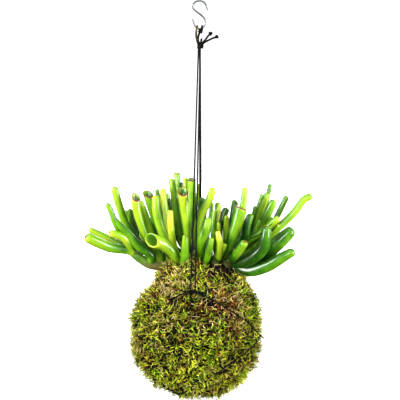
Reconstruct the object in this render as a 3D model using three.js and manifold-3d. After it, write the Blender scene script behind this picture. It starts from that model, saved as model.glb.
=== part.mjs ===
// A kokedama: a moss ball planted with finger jade, hung on four black strands from a small S-hook.
// Units are millimetres and +Z is up. The origin is the inside of the hook's upper bend, where it
// hangs on its support. Plant and ball are laid out from the ball's upright axis.
import * as THREE from 'three';
import * as BufferGeometryUtils from 'three/addons/utils/BufferGeometryUtils.js';
import Module from 'manifold-3d';

// ---- driving dimensions -------------------------------------------------------------------

const HOOK_WIRE = 1.7;          // steel wire of the S-hook
const CORD = 1.3;               // black hanging cord
const THREAD = 1.1;             // winding thread round the moss
const GAP = 0.3;                // air between pieces that touch

const BALL = new THREE.Vector3(-3.2, 0, -305.4);   // centre of the moss ball
const BALL_RADIUS = 59.6;       // at the waist, without tufts
const BALL_FLAT = 60.2;         // the pressed flat under the ball is this far below its centre
const CROWN = 62;               // where the plant leaves the soil, above the ball's centre
const CORE_RADIUS = 52;         // root ball inside the moss
const MOUTH = { x: 2, y: 2, radius: 33 };   // opening of the moss round the plant
const SOIL_DOME = 8;            // how far the soil bulges in that opening
const HOLE_CLEAR = 0.9;         // room round a stem in its hole

const KNOT = new THREE.Vector3(0.4, 0.6, -40.2);   // main knot of the hanger
const KNOT_SIZE = [2.5, 2.7, 3.1];

const LEAF_SIDES = 6;
const STEM_SIDES = 8;
const CORD_SIDES = 8;
const LOOP_SIDES = 6;
const THREAD_SIDES = 5;

// ---- solids -------------------------------------------------------------------------------

const wasm = await Module();
wasm.setup();

/** Turns a closed three.js geometry into a manifold-3d solid. */
function toSolid(geometry) {
  const bare = geometry.clone();
  bare.deleteAttribute('normal');
  bare.deleteAttribute('uv');
  const merged = BufferGeometryUtils.mergeVertices(bare, 1e-4);
  const mesh = new wasm.Mesh({
    numProp: 3,
    vertProperties: new Float32Array(merged.attributes.position.array),
    triVerts: new Uint32Array(merged.index.array),
  });
  mesh.merge();
  return new wasm.Manifold(mesh);
}

/** Turns a solid back into a three.js geometry. */
function toGeometry(solid) {
  const mesh = solid.getMesh();
  const geometry = new THREE.BufferGeometry();
  geometry.setAttribute('position', new THREE.BufferAttribute(mesh.vertProperties.slice(), 3));
  geometry.setIndex(new THREE.BufferAttribute(mesh.triVerts.slice(), 1));
  geometry.computeVertexNormals();
  return geometry;
}

/** Fuses geometries into one body. */
function fuse(geometries) {
  return geometries.map(toSolid).reduce((whole, piece) => whole.add(piece));
}

/** A random draw that gives the same numbers every time. */
function seeded(seed) {
  let state = seed;
  return () => {
    state = (state * 1664525 + 1013904223) % 4294967296;
    return state / 4294967296;
  };
}

/** A point laid out from the ball's axis, with its height above the crown. */
function fromCrown([x, y, height]) {
  return new THREE.Vector3(BALL.x + x, BALL.y + y, BALL.z + CROWN + height);
}

/** A straight round bar between two points, flat at both ends. */
function bar(from, to, radius, sides = STEM_SIDES) {
  const along = new THREE.Vector3().subVectors(to, from);
  const cylinder = new THREE.CylinderGeometry(radius, radius, along.length(), sides);
  cylinder.translate(0, along.length() / 2, 0);
  const turn = new THREE.Quaternion().setFromUnitVectors(new THREE.Vector3(0, 1, 0), along.normalize());
  cylinder.applyQuaternion(turn);
  cylinder.translate(from.x, from.y, from.z);
  return cylinder;
}

/** A round cord along a smooth curve through the points. */
function cordAlong(points, diameter, steps, sides = CORD_SIDES) {
  const section = new THREE.Shape();
  section.absarc(0, 0, diameter / 2, 0, 2 * Math.PI);
  const curve = new THREE.CatmullRomCurve3(points, false, 'centripetal');
  return new THREE.ExtrudeGeometry(section, { steps, curveSegments: sides / 2, extrudePath: curve });
}

// ---- S-hook: one bent steel wire ------------------------------------------------------------

// The centre line of the wire, from the free end of the upper bend to that of the lower one.
const HOOK_LINE = [
  [7.5, -8.9], [6.7, -4.9], [5.4, -1.9], [2.9, 0.2], [0, 0.85], [-3.2, 0.1], [-5.6, -2.1], [-6.2, -4.5],
  [-5.1, -7], [-2.1, -9.6], [0.8, -11.7], [3.5, -14.2], [5.3, -17], [5.5, -19.7], [4.1, -22.6], [1.9, -24.4],
  [-0.5, -24.9], [-3.3, -23.3], [-5.1, -19.9], [-6.1, -16.1],
];
const HOOK_STEPS = 36;

function buildHook() {
  const line = HOOK_LINE.map(([x, z]) => new THREE.Vector3(x, 0, z));
  return cordAlong(line, HOOK_WIRE, HOOK_STEPS);
}

// ---- moss ball --------------------------------------------------------------------------------

const FRONT_KNOT = new THREE.Vector3(-2.8, -47.7, 43).normalize();   // where the front strands tie on
const BACK_KNOT = new THREE.Vector3(4.1, 36.5, 52.6).normalize();

// Each turn of the winding thread is the circle through three directions from the ball's centre.
const TURNS = [
  [FRONT_KNOT, new THREE.Vector3(26.7, -48, 26.3), new THREE.Vector3(60.7, -2, -7.4)],
  [BACK_KNOT, new THREE.Vector3(-24, -27, -48), BACK_KNOT.clone().negate()],
  [
    new THREE.Vector3(55.2, -26.7, -4.6),
    new THREE.Vector3(33.1, -47.3, -21.2),
    new THREE.Vector3(12.9, -49.7, -33.9),
  ],
  [FRONT_KNOT, new THREE.Vector3(-19.3, -48, 36.4), new THREE.Vector3(-59.8, -5, 1.6)],
].map((through) => circleThrough(...through.map((direction) => direction.clone().normalize())));
const TURN_STEPS = 24;
// One more turn runs under the ball; its ends are tucked into the moss at either side of the plant.
const TUCKED_TURN = [new THREE.Vector3(6, -44, 40), new THREE.Vector3(-3, -57, 20)];
const TUCKED_SWEEP = { from: -3, to: 268, step: 13 };
const GROOVES = [...TURNS, { normal: TUCKED_TURN[0].clone().cross(TUCKED_TURN[1]).normalize(), offset: 0 }];
const GROOVE = { depth: 1.2, half: 4, fade: 10 };   // the thread pulls the moss in along each turn
const THREAD_LIFT = 0.2;                            // centre of the thread above the smooth ball

const TUFTS = { waves: 9, shortest: 12, longest: 26, height: 0.55 };
const MOSS_DETAIL = 9;
const CORE_STEPS = 18;

/** The plane through three points of the unit sphere: its normal and its distance from the centre. */
function circleThrough(a, b, c) {
  const normal = b.clone().sub(a).cross(c.clone().sub(a)).normalize();
  return { normal, offset: normal.dot(a) };
}

/** A smooth hump of height 1 at the middle, used to round out the ball. */
const hump = (angle, middle, width) => Math.exp(-(((angle - middle) / width) ** 2));

/** Radius of the smooth ball in a direction: fuller at the shoulders, the haunch and the foot. */
function ballRadius(direction) {
  const polar = THREE.MathUtils.radToDeg(Math.acos(THREE.MathUtils.clamp(direction.z, -1, 1)));
  const shoulder = (4.8 + 2 * direction.x) * hump(polar, 42, 26);
  const top = 2.9 * hump(polar, 0, 22);
  const haunch = 1.6 * hump(polar, 138, 30);
  const foot = 2.4 * hump(polar, 180, 34);
  return BALL_RADIUS + shoulder + top + haunch + foot;
}

/** A random unit vector. */
function drawDirection(draw) {
  const z = 2 * draw() - 1;
  const angle = 2 * Math.PI * draw();
  const flat = Math.sqrt(1 - z * z);
  return new THREE.Vector3(flat * Math.cos(angle), flat * Math.sin(angle), z);
}

const tuftDraw = seeded(11);
const TUFT_WAVES = Array.from({ length: TUFTS.waves }, () => {
  const heading = drawDirection(tuftDraw);
  const length = TUFTS.shortest + (TUFTS.longest - TUFTS.shortest) * tuftDraw();
  return { heading, scale: (2 * Math.PI * BALL_RADIUS) / length, phase: 2 * Math.PI * tuftDraw() };
});

/** Height of the moss tufts over the smooth ball. */
function tuftHeight(direction) {
  return TUFT_WAVES.reduce(
    (sum, wave) => sum + TUFTS.height * Math.sin(wave.scale * wave.heading.dot(direction) + wave.phase),
    0,
  );
}

/** Radius of the moss surface: tufts, pulled in along the turns of the thread, pressed flat below. */
function mossRadius(direction) {
  const radius = ballRadius(direction);
  const pressed = direction.z < 0 ? -BALL_FLAT / direction.z : Infinity;
  const nearest = Math.min(...GROOVES.map(({ normal, offset }) => (
    Math.abs(Math.asin(normal.dot(direction)) - Math.asin(offset)) * radius)));
  const free = THREE.MathUtils.smoothstep(nearest, GROOVE.half, GROOVE.fade);
  return Math.min(radius + free * tuftHeight(direction) - (1 - free) * GROOVE.depth, pressed);
}

/** Root ball and soil dome, grown by the gap where it is used as a cutter. */
function coreSolid(grow) {
  const sphere = new THREE.SphereGeometry(CORE_RADIUS + grow, CORE_STEPS, CORE_STEPS - 8);
  const { x, y, radius } = MOUTH;
  const wall = radius - GAP + grow;
  const edge = CROWN - SOIL_DOME / 2;
  const lid = grow > 0 ? [[wall, edge + 30], [0, edge + 30]]
    : [[wall, edge - 1], [wall - 3, edge + 1.2], [wall * 0.66, edge + SOIL_DOME * 0.62],
      [wall * 0.33, edge + SOIL_DOME * 0.92], [0, edge + SOIL_DOME]];
  const profile = [[0, 10], [wall, 10], ...lid].map(([r, z]) => new THREE.Vector2(r, z));
  const plug = new THREE.LatheGeometry(profile, CORE_STEPS);
  plug.rotateX(Math.PI / 2);
  plug.translate(x, y, 0);
  return fuse([sphere, plug]).translate([BALL.x, BALL.y, BALL.z]);
}

function buildMoss() {
  const surface = new THREE.IcosahedronGeometry(1, MOSS_DETAIL);
  const position = surface.attributes.position;
  const direction = new THREE.Vector3();
  for (let i = 0; i < position.count; i += 1) {
    direction.fromBufferAttribute(position, i).normalize();
    direction.multiplyScalar(mossRadius(direction)).add(BALL);
    position.setXYZ(i, direction.x, direction.y, direction.z);
  }
  return toGeometry(toSolid(surface).subtract(coreSolid(GAP)));
}

/** Soil and roots, with a plain hole for the foot of every stem. */
function buildSoil(stems) {
  const holes = stems.map(({ wood, thick }) => {
    const foot = fromCrown(wood[0]);
    const collar = fromCrown(wood[1]);
    const past = new THREE.Vector3().lerpVectors(foot, collar, 1.5);
    foot.lerp(collar, -0.05);
    return toSolid(bar(foot, past, Math.max(...thick) / 2 + HOLE_CLEAR));
  });
  return toGeometry(holes.reduce((soil, hole) => soil.subtract(hole), coreSolid(0)));
}

// ---- winding thread -----------------------------------------------------------------------------

/** Centre of the thread in a direction from the ball's centre. */
function threadPlace(direction) {
  return direction.clone().multiplyScalar(ballRadius(direction) + THREAD_LIFT).add(BALL);
}

/** The turn whose ends are tucked into the moss. */
function tuckedTurn([start, through]) {
  const first = start.clone().normalize();
  const axis = start.clone().cross(through).normalize();
  const { from, to, step } = TUCKED_SWEEP;
  const count = Math.round((to - from) / step);
  const line = Array.from({ length: count + 1 }, (_, i) => {
    const angle = THREE.MathUtils.degToRad(from + ((to - from) * i) / count);
    return threadPlace(first.clone().applyAxisAngle(axis, angle));
  });
  return cordAlong(line, THREAD, count, LOOP_SIDES);
}

/** One closed turn of thread over the grooves of the moss. */
function threadTurn({ normal, offset }) {
  const ring = new THREE.TorusGeometry(BALL_RADIUS, THREAD / 2, THREAD_SIDES, TURN_STEPS);
  ring.applyQuaternion(new THREE.Quaternion().setFromUnitVectors(new THREE.Vector3(0, 0, 1), normal));
  const position = ring.attributes.position;
  const vertex = new THREE.Vector3();
  for (let i = 0; i < position.count; i += 1) {
    vertex.fromBufferAttribute(position, i);
    const aside = vertex.dot(normal);
    const outward = vertex.clone().projectOnPlane(normal);
    const above = outward.length() - BALL_RADIUS;
    const direction = outward.setLength(Math.sqrt(1 - offset ** 2)).addScaledVector(normal, offset);
    const across = normal.clone().projectOnPlane(direction).normalize();
    const place = threadPlace(direction).addScaledVector(direction, above).addScaledVector(across, aside);
    position.setXYZ(i, place.x, place.y, place.z);
  }
  return ring;
}

const TIE_LIFT = 0.6;           // centre of a tie knot above the thread's

/** Centre of a tie knot that sits on the thread in a given direction. */
function tieCentre(direction) {
  return threadPlace(direction).addScaledVector(direction, TIE_LIFT);
}

function tieKnot(direction, [width, depth, height]) {
  const lump = new THREE.SphereGeometry(1, 10, 8);
  lump.scale(width / 2, depth / 2, height / 2);
  const centre = tieCentre(direction);
  lump.translate(centre.x, centre.y, centre.z);
  return lump;
}

const FRONT_TIE = [9, 3, 3.4];
const BACK_TIE = [6, 4.6, 3.4];

function buildThread() {
  const ties = [tieKnot(FRONT_KNOT, FRONT_TIE), tieKnot(BACK_KNOT, BACK_TIE)];
  return toGeometry(fuse([...TURNS.map(threadTurn), tuckedTurn(TUCKED_TURN), ...ties]));
}

// ---- hanger: four strands, the main knot, its loops over the hook and its tails -----------------

// Each strand: its place in the knot's underside, and its place on the tie knot (x, y offsets).
const STRANDS = [
  { name: 'strand_front_left', top: [-0.95, -0.8], tie: FRONT_KNOT, at: [-2, 0] },
  { name: 'strand_front_right', top: [0.75, -0.8], tie: FRONT_KNOT, at: [2, 0] },
  { name: 'strand_back_near', top: [0.2, 0.9], tie: BACK_KNOT, at: [-0.5, -0.9] },
  { name: 'strand_back_far', top: [0.7, 2.5], tie: BACK_KNOT, at: [0.6, 0.9] },
];
const STRAND_TOP = -43.9;
const TIE_CLEAR = 2.2;          // a strand stops this far above the middle of its tie knot
const STRAND_STEPS = 6;

function buildStrand({ top, tie, at }) {
  const upper = new THREE.Vector3(top[0], top[1], STRAND_TOP);
  const lower = tieCentre(tie).add(new THREE.Vector3(at[0], at[1], TIE_CLEAR));
  const middle = new THREE.Vector3().lerpVectors(upper, lower, 0.5);
  return cordAlong([upper, middle, lower], CORD, STRAND_STEPS);
}

// Loops over the lower bend: x at the wire, height of the wire's centre there, x in the knot.
const LOOPS = [
  { wireX: -2.5, wireZ: -23.7, knotX: -1.2, bow: -2.6 },
  { wireX: 1.7, wireZ: -24.2, knotX: 0.8, bow: 0.6 },
];
const LOOP_REACH = (HOOK_WIRE + CORD) / 2 + GAP + 0.1;   // from the wire's centre to the loop's
const LOOP_SLACK = { side: 0.3, top: 0.15 };             // a bent loop stands a little off the wire
// Its neck is this far above the knot, its bow and its shoulder this far below the wire.
const LOOP_DROP = { neck: 5, bow: 4.5, shoulder: 0.4 };
const LOOP_STEPS = 16;

/** A loop that rises from the knot before the wire, goes over it, and comes down behind it. */
function hangingLoop({ wireX, wireZ, knotX, bow }) {
  const side = (y) => [
    new THREE.Vector3(knotX, y * 0.45, KNOT.z + 1),
    new THREE.Vector3((bow + knotX) / 2, y * 0.8, KNOT.z + LOOP_DROP.neck),
    new THREE.Vector3(bow, y, wireZ - LOOP_DROP.bow),
    new THREE.Vector3(wireX, y, wireZ - LOOP_DROP.shoulder),
  ];
  const away = LOOP_REACH + LOOP_SLACK.side;
  const over = new THREE.Vector3(wireX, 0, wireZ + LOOP_REACH + LOOP_SLACK.top);
  return cordAlong([...side(-away), over, ...side(away).reverse()], CORD, LOOP_STEPS, LOOP_SIDES);
}

const TAILS = [
  [[1, -40], [3.2, -37.4], [5.8, -34.8], [8.4, -31.2], [10.1, -29.4]],
  [[1.2, -40.4], [4.4, -37], [8.6, -34.9], [12.6, -33], [15.8, -32.4]],
  [[0.8, -40], [1.7, -36.6], [2.1, -33.6]],
];
const TAIL_DEPTH = { first: -0.4, step: -0.5 };   // each tail leaves the knot a little further forward
const STOPPER = 2.9;            // overhand stopper knot at the end of the two long tails
const WRAP = { radius: 2.1, lean: 18, turn: 28, lift: 0.4 };   // the cord drawn round the main knot
const HITCH = { size: 3, forward: 0.8, below: 1.2 };   // small knot before the wire, on the right loop

/** A small knot drawn tight, as a ball. */
function bead(size, x, y, z) {
  const ball = new THREE.SphereGeometry(size / 2, 8, 6);
  ball.translate(x, y, z);
  return ball;
}

function buildHangerKnot() {
  const core = new THREE.SphereGeometry(1, 10, 7);
  core.scale(...KNOT_SIZE);
  core.translate(KNOT.x, KNOT.y, KNOT.z);
  const wrap = new THREE.TorusGeometry(WRAP.radius, CORD / 2, 5, 12);
  wrap.rotateX(THREE.MathUtils.degToRad(WRAP.lean));
  wrap.rotateY(THREE.MathUtils.degToRad(WRAP.turn));
  wrap.translate(KNOT.x, KNOT.y, KNOT.z + WRAP.lift);
  const lines = TAILS.map((tail, i) => {
    const y = KNOT.y + TAIL_DEPTH.first + TAIL_DEPTH.step * i;
    return tail.map(([x, z]) => new THREE.Vector3(x, y, z));
  });
  const tails = lines.map((line) => cordAlong(line, CORD, 4, LOOP_SIDES));
  const stoppers = lines.slice(0, 2).map((line) => bead(STOPPER, ...line[line.length - 1]));
  const hitch = bead(HITCH.size, LOOPS[1].wireX, -LOOP_REACH - HITCH.forward, LOOPS[1].wireZ - HITCH.below);
  return toGeometry(fuse([core, wrap, ...LOOPS.map(hangingLoop), ...tails, ...stoppers, hitch]));
}

// ---- plant --------------------------------------------------------------------------------------

// Every stem: its wood, from its foot in the soil outward, the wood's thickness at the foot, half
// way and at its end, and its leaves. A leaf has its line from where it leaves the wood to its tip,
// and its thickness near the root, half way and below the tip. A leaf that ends in a cup says which
// way the cup looks and, by that arrow's length, how steeply its rim is cut. Places are x, depth and
// height above the crown.
const STEMS = [
  {
    name: 'leafy_stem_left',
    wood: [[-22, 1, -18], [-23, 0, 3], [-28, -5, 8], [-42, -10, 5], [-51.5, -12, 8], [-60, -13, 13.5]],
    thick: [9, 9.5, 7],
    leaves: [
      {
        line: [[-62, -14, 14.5], [-79, -20, 18.5], [-88.5, -24, 23], [-101.5, -29, 30]],
        thick: [6.7, 9, 9.6],
      },
      {
        line: [[-62, -12.5, 15], [-73, -10, 21.5], [-86, -8.5, 28], [-98.5, -8, 33.5]],
        thick: [4.4, 5.4, 5.4],
      },
      { line: [[-42, -12, 8], [-46, -15, 16.6], [-52.5, -18.5, 24]], thick: [4.6, 5, 4.6] },
      { line: [[-41, -14, 9.5], [-53, -18, 20], [-65, -19, 33], [-77, -20, 46]], thick: [7, 8.6, 6] },
      {
        line: [[-73.5, -20, 39.5], [-76.5, -20.5, 48], [-78.5, -21, 53.5], [-82, -21.5, 59.5]],
        thick: [5, 5.4, 5],
      },
      { line: [[-65, -21, 26], [-72, -24, 30.5], [-80, -27, 33]], thick: [5.5, 7.2, 7] },
      {
        line: [[-43.5, -7, 14.5], [-52.5, -6, 22.5], [-60.5, -6, 33], [-65.5, -6, 41.5]],
        thick: [5, 5.6, 5.6],
      },
      { line: [[-64, -6, 35.5], [-68.5, -7, 49.5], [-72, -8, 61], [-75, -9, 73]], thick: [5.6, 7, 6.8] },
      { line: [[-57, -3, 29], [-59.3, 1, 35], [-61, 2, 51.5]], thick: [3.6, 4.2, 4] },
      { line: [[-54, -2, 27], [-57, 5, 41], [-59, 6, 50]], thick: [3, 3.6, 3.4] },
      {
        line: [[-34, -8.5, 11], [-44, -11, 23.4], [-51.5, -14, 42.5], [-54.5, -16, 54], [-55.2, -17, 65]],
        thick: [5.4, 7.4, 8], looks: [0.25, -0.45, 0],
      },
      {
        line: [[-37, -7, 14.5], [-43.5, -9, 38], [-47.5, -10, 50.5], [-51.5, -11, 60.5]],
        thick: [4.6, 6.2, 5.2],
      },
      { line: [[-31, -3, 14], [-39.4, 3, 32.5], [-40.5, 5, 44.5]], thick: [3.6, 4, 3.8] },
      {
        line: [[-28, -2, 13], [-32, 2, 27], [-38.5, 3, 43], [-44.2, 4, 65]],
        thick: [4.6, 5.6, 9], looks: [0.35, -0.4, 0],
      },
    ],
  },
  {
    name: 'leafy_stem_front_left',
    wood: [[-12, -9, -18], [-12.5, -10, 4], [-16, -14, 10]],
    thick: [9, 9, 7.6],
    leaves: [
      {
        line: [[-20.5, -13, 13], [-27, -13.5, 23.5], [-34, -14, 41.6], [-36.6, -14, 54], [-36.5, -14, 66]],
        thick: [6, 8.4, 7.6],
      },
      { line: [[-18.5, -8, 13], [-24, -3, 31.6], [-28.5, 0, 50], [-30.5, 2, 70]], thick: [4.6, 6.6, 5.8] },
      {
        line: [[-17.5, -17, 10], [-21.5, -22, 24], [-23, -25, 39.5], [-23.5, -26, 54]],
        thick: [7.4, 7, 5.2],
      },
      {
        line: [[-17, -18, 8], [-22, -22.5, 15], [-31, -27, 23], [-41, -32, 27]],
        thick: [7, 10.5, 13], looks: [-0.1, -0.8, -0.15],
      },
      { line: [[-11, -21, 5], [-10, -28, 17.5], [-10, -32, 32]], thick: [5.6, 7.6, 4.8] },
      {
        line: [[-8, -17, 18], [-8.5, -19, 34.5], [-10, -21.5, 51.5], [-12, -24, 71.5]],
        thick: [4.6, 7.6, 9], looks: [0.05, -0.42, 0],
      },
    ],
  },
  {
    name: 'leafy_stem_centre',
    wood: [[-6, 10, -18], [-6, 10, 4], [-7, 9, 10]],
    thick: [9, 9, 7],
    leaves: [
      { line: [[-16, 9, 12], [-26.7, 10, 25.2], [-32.4, 12, 43.5], [-36, 14, 68]], thick: [3.6, 4.4, 4.2] },
      { line: [[-14, 11, 16], [-20.2, 13, 34], [-25, 16, 59]], thick: [3.4, 3.8, 3.6] },
      { line: [[-10.5, 8, 14], [-14.5, 6, 25], [-19, 8, 52], [-22.5, 10, 78]], thick: [4.6, 6.2, 5.6] },
      {
        line: [[-8.5, 12, 16], [-12, 14, 43], [-16, 18, 68], [-17.6, 22, 81.5]],
        thick: [4, 4, 5.8], looks: [0.15, -0.45, 0],
      },
      { line: [[-7.5, 11, 15], [-10, 12, 39], [-13.5, 16, 74]], thick: [3.6, 4, 3.2] },
      { line: [[-6.8, 6, 14], [-6.4, 3, 43], [-10, 4, 80]], thick: [4.4, 5.4, 4.2] },
      {
        line: [[-5.5, 5, 13], [-3.9, -1.5, 38], [-4, -4, 79.5]],
        thick: [5, 7.4, 7.8], looks: [0, -0.25, 0],
      },
    ],
  },
  {
    name: 'leafy_stem_front_right',
    wood: [[6, -6, -18], [6, -7, 4], [5, -10, 9]],
    thick: [8.6, 8.6, 7.4],
    leaves: [
      {
        line: [[2.6, -10, 14], [1, -10, 31], [5.1, -10, 48.4], [11.4, -11, 59.7], [16, -12, 73]],
        thick: [5, 7.4, 6.6],
      },
      { line: [[7, -4, 13], [5, 5, 30], [4.4, 8, 46], [6, 8, 61]], thick: [4.6, 6.4, 6] },
      { line: [[8, -7, 13], [12, 0, 36], [15, 2, 57]], thick: [3.6, 4.2, 3.8] },
      { line: [[4, -16, 11], [5.5, -26, 26], [9.4, -29, 38], [12, -30, 47.5]], thick: [6.4, 9.2, 7.2] },
      { line: [[9, -18, 6], [12.4, -28, 18.4], [14.5, -30, 29]], thick: [5, 6.2, 5.4] },
    ],
  },
  {
    name: 'leafy_stem_right',
    wood: [[17, -8, -18], [18, -9, 4], [22, -13, 9]],
    thick: [8.6, 8.4, 7.4],
    leaves: [
      { line: [[20.5, -20, 10], [22, -27.5, 23], [19.5, -28, 35]], thick: [5, 6.8, 5] },
      { line: [[23, -20, 11], [25.6, -26, 18], [27, -27.5, 23]], thick: [3.6, 4, 3.6] },
      { line: [[22, -14, 18], [21.6, -16, 33], [20.5, -17, 41.5]], thick: [3.4, 3.6, 3.2] },
      { line: [[19.5, -11, 14], [17.2, -9, 34], [19.5, -8, 44], [21.5, -6, 57]], thick: [4.4, 5, 5] },
      { line: [[18.4, -12, 12], [15.6, -13, 28], [17, -13, 52]], thick: [4, 4.4, 4] },
      { line: [[21, -7, 14], [20.4, 1, 30], [24.8, 3, 43.6], [28.5, 4, 52]], thick: [4.8, 7, 6.8] },
      { line: [[24.3, -14, 13], [27.6, -16, 27], [28, -18, 48]], thick: [3.8, 4.6, 4.6] },
      {
        line: [[26, -15, 11], [31.7, -20, 24], [37.3, -23, 40], [41.5, -24, 56]],
        thick: [6.2, 11.4, 11.4], looks: [0.15, 0.1, 0],
      },
      { line: [[24, -9, 13], [30.5, -2, 33], [37, 0, 58.5]], thick: [4, 5.2, 4.8] },
      { line: [[26, -10, 13], [37.5, -8, 35], [42.6, -8, 51], [45.5, -8, 72.5]], thick: [4.6, 6.8, 6] },
    ],
  },
  {
    name: 'leafy_stem_far_right',
    wood: [[26, 8, -18], [27, 8, 4], [34, 6, 10]],
    thick: [8.6, 8.6, 7.6],
    leaves: [
      { line: [[39.5, -1, 14], [45.4, -8, 27], [47.2, -10, 39], [51, -10, 48.5]], thick: [5, 8, 6.8] },
      { line: [[40, 3, 15], [50, 1, 34], [55, 2, 54]], thick: [3.8, 4.4, 4.2] },
      { line: [[38, 5, 13], [51.5, 4, 33.4], [59.3, 4, 50], [66, 4, 65.5]], thick: [4.8, 6.8, 6.2] },
      { line: [[40, 8, 17], [53, 9, 39], [61, 12, 63.5]], thick: [3.6, 4, 3.8] },
      { line: [[40, 9, 14], [59.8, 12, 43.4], [65.5, 14, 59], [68.5, 16, 72.5]], thick: [3.8, 4.8, 4.4] },
      { line: [[39, 3, 11], [53, -1.5, 24], [63, -4.5, 42], [72, -6, 60.5]], thick: [5.4, 8.4, 7.4] },
      { line: [[42, -1, 14], [51, -5, 25.3], [58.5, -6, 42.5]], thick: [4.4, 5.6, 4.6] },
      {
        line: [[42, 6, 10], [57, 6, 19], [70, 6.5, 35], [77.7, 7, 49.7], [84, 8, 62.5]],
        thick: [4.4, 5.8, 5.2],
      },
      { line: [[40, -2, 13], [48.8, -7, 23], [62, -11.5, 33], [76.5, -14, 45.5]], thick: [4.6, 6, 6.8] },
    ],
  },
  {
    name: 'leafy_stem_low_right',
    wood: [[28, -5, -18], [28.5, -6, 4], [35, -11, 5]],
    thick: [8.6, 8.6, 7.6],
    leaves: [
      {
        line: [[41, -19, 4], [53.5, -28, 11.5], [61.5, -33.5, 21], [64, -37, 31.5], [65, -38, 41]],
        thick: [7.4, 12, 8.4],
      },
      { line: [[44, -12, 4.5], [58.5, -17, 9.5], [74, -21, 22], [89.5, -22, 36]], thick: [7.4, 13, 10.4] },
      {
        line: [[38.5, -15, 0.5], [48.5, -21, -3], [65.5, -28, 2.5], [78.5, -32, 10.5], [90.5, -34, 17.5]],
        thick: [6.6, 9.8, 8],
      },
      {
        line: [
          [42.7, -9.5, 7.3], [59, -7, 20], [76, -4.5, 34.6], [91, -3, 49.3], [99.5, -2, 60.4], [107, -2, 64],
        ],
        thick: [5.2, 7, 6.8],
      },
      { line: [[58, -8, 18], [69.9, -8, 29.6], [76, -8, 38.5]], thick: [3.6, 3.8, 3.6] },
      { line: [[34, -22, 8], [39, -36, 17], [45, -46, 27.5]], thick: [5.6, 7.4, 7.4] },
      { line: [[33.5, -18, 7], [35, -26, 12.5], [37.5, -30, 18]], thick: [4.2, 4.8, 4.4] },
    ],
  },
  {
    name: 'leafy_stem_back_left',
    wood: [[-17, 17, -18], [-18, 18, 4], [-24, 23, 8]],
    thick: [8.4, 8.4, 7],
    leaves: [
      { line: [[-31, 26, 12], [-45, 33, 22], [-60.5, 37, 43]], thick: [5, 7.4, 6.6] },
      { line: [[-34, 20, 13], [-50, 20, 24], [-66.5, 20, 47]], thick: [4.8, 6.8, 6] },
      { line: [[-30, 30, 10], [-42, 44, 15], [-57, 54.5, 30]], thick: [5.4, 8.6, 7.4] },
      { line: [[-25, 26, 14], [-31, 38, 28], [-35, 45.5, 51]], thick: [4.6, 6.4, 6] },
      { line: [[-26, 22, 15], [-36, 25, 34], [-43.5, 26, 58]], thick: [4.4, 6, 5.4] },
      { line: [[-25, 31, 8], [-31, 48, 10], [-36.5, 64, 22.5]], thick: [5, 8, 7] },
      { line: [[-22, 23, 16], [-24, 30, 38], [-27, 33, 60]], thick: [4.2, 5.8, 5.4], looks: [0, 0.5, 0] },
      { line: [[-35, 25, 8], [-53, 31, 9], [-73, 35, 21.5]], thick: [5.2, 8.2, 7.2] },
    ],
  },
  {
    name: 'leafy_stem_back',
    wood: [[-4, 27, -18], [-4, 27, 4], [-5, 31, 9]],
    thick: [8.4, 8.4, 7],
    leaves: [
      { line: [[-6, 38, 11], [-9, 52, 20], [-13, 62.5, 39]], thick: [5, 7.6, 6.6] },
      { line: [[0, 40, 9], [6, 55, 16], [10.5, 66.5, 32]], thick: [5, 7.8, 7] },
      { line: [[-3, 34, 16], [-3, 40, 38], [1.5, 37, 56], [3, 32.5, 70]], thick: [4, 4.6, 3.6] },
      { line: [[-9, 35, 14], [-14, 41, 32], [-17, 46.5, 55]], thick: [4.4, 6, 5.6] },
      { line: [[-5, 41, 7], [-8, 58, 9], [-10, 73, 19.5]], thick: [5.2, 8.2, 7.2] },
      { line: [[-8, 30, 16], [-12, 31, 36], [-14, 33, 61]], thick: [4.2, 5.4, 5], looks: [0, 0.45, 0] },
      { line: [[0, 36, 14], [5, 46, 30], [9, 52.5, 51]], thick: [4.4, 6.2, 5.6] },
    ],
  },
  {
    name: 'leafy_stem_back_right',
    wood: [[20, 20, -18], [21, 21, 4], [26, 26, 8]],
    thick: [8.4, 8.4, 7],
    leaves: [
      { line: [[34, 30, 11], [47, 39, 22], [58.5, 44.5, 42]], thick: [5, 7.4, 6.6] },
      { line: [[37, 26, 10], [54, 28, 20], [71, 30, 39]], thick: [5, 7.2, 6.4] },
      { line: [[29, 34, 9], [37, 48, 15], [44.5, 58.5, 31]], thick: [5.2, 8.2, 7.2] },
      { line: [[28, 30, 15], [33, 37, 33], [36, 42.5, 54]], thick: [4.4, 6.2, 5.6] },
      { line: [[23, 31, 14], [21, 40, 32], [20, 47.5, 51]], thick: [4.4, 6, 5.6] },
      {
        line: [[30.4, 25, 15.6], [39, 27, 32.5], [45, 28, 52.5]],
        thick: [4.2, 5.6, 5.2], looks: [0.3, 0.4, 0],
      },
      { line: [[38, 31, 6], [55, 41, 8], [71, 49.5, 19.5]], thick: [5.2, 8.2, 7.2] },
      { line: [[25, 36, 8], [25, 53, 11], [27, 68, 25]], thick: [5, 7.8, 6.8] },
    ],
  },
];

/** Thickness along a leaf or stem, from its three stated values. */
function thickness([root, middle, end], share) {
  const rise = middle * 4 * share * (1 - share);
  return root * (1 - share) * (1 - 2 * share) + rise + end * share * (2 * share - 1);
}

const RING_STEP = 17;           // a leaf is bent at rings about this far apart

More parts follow.
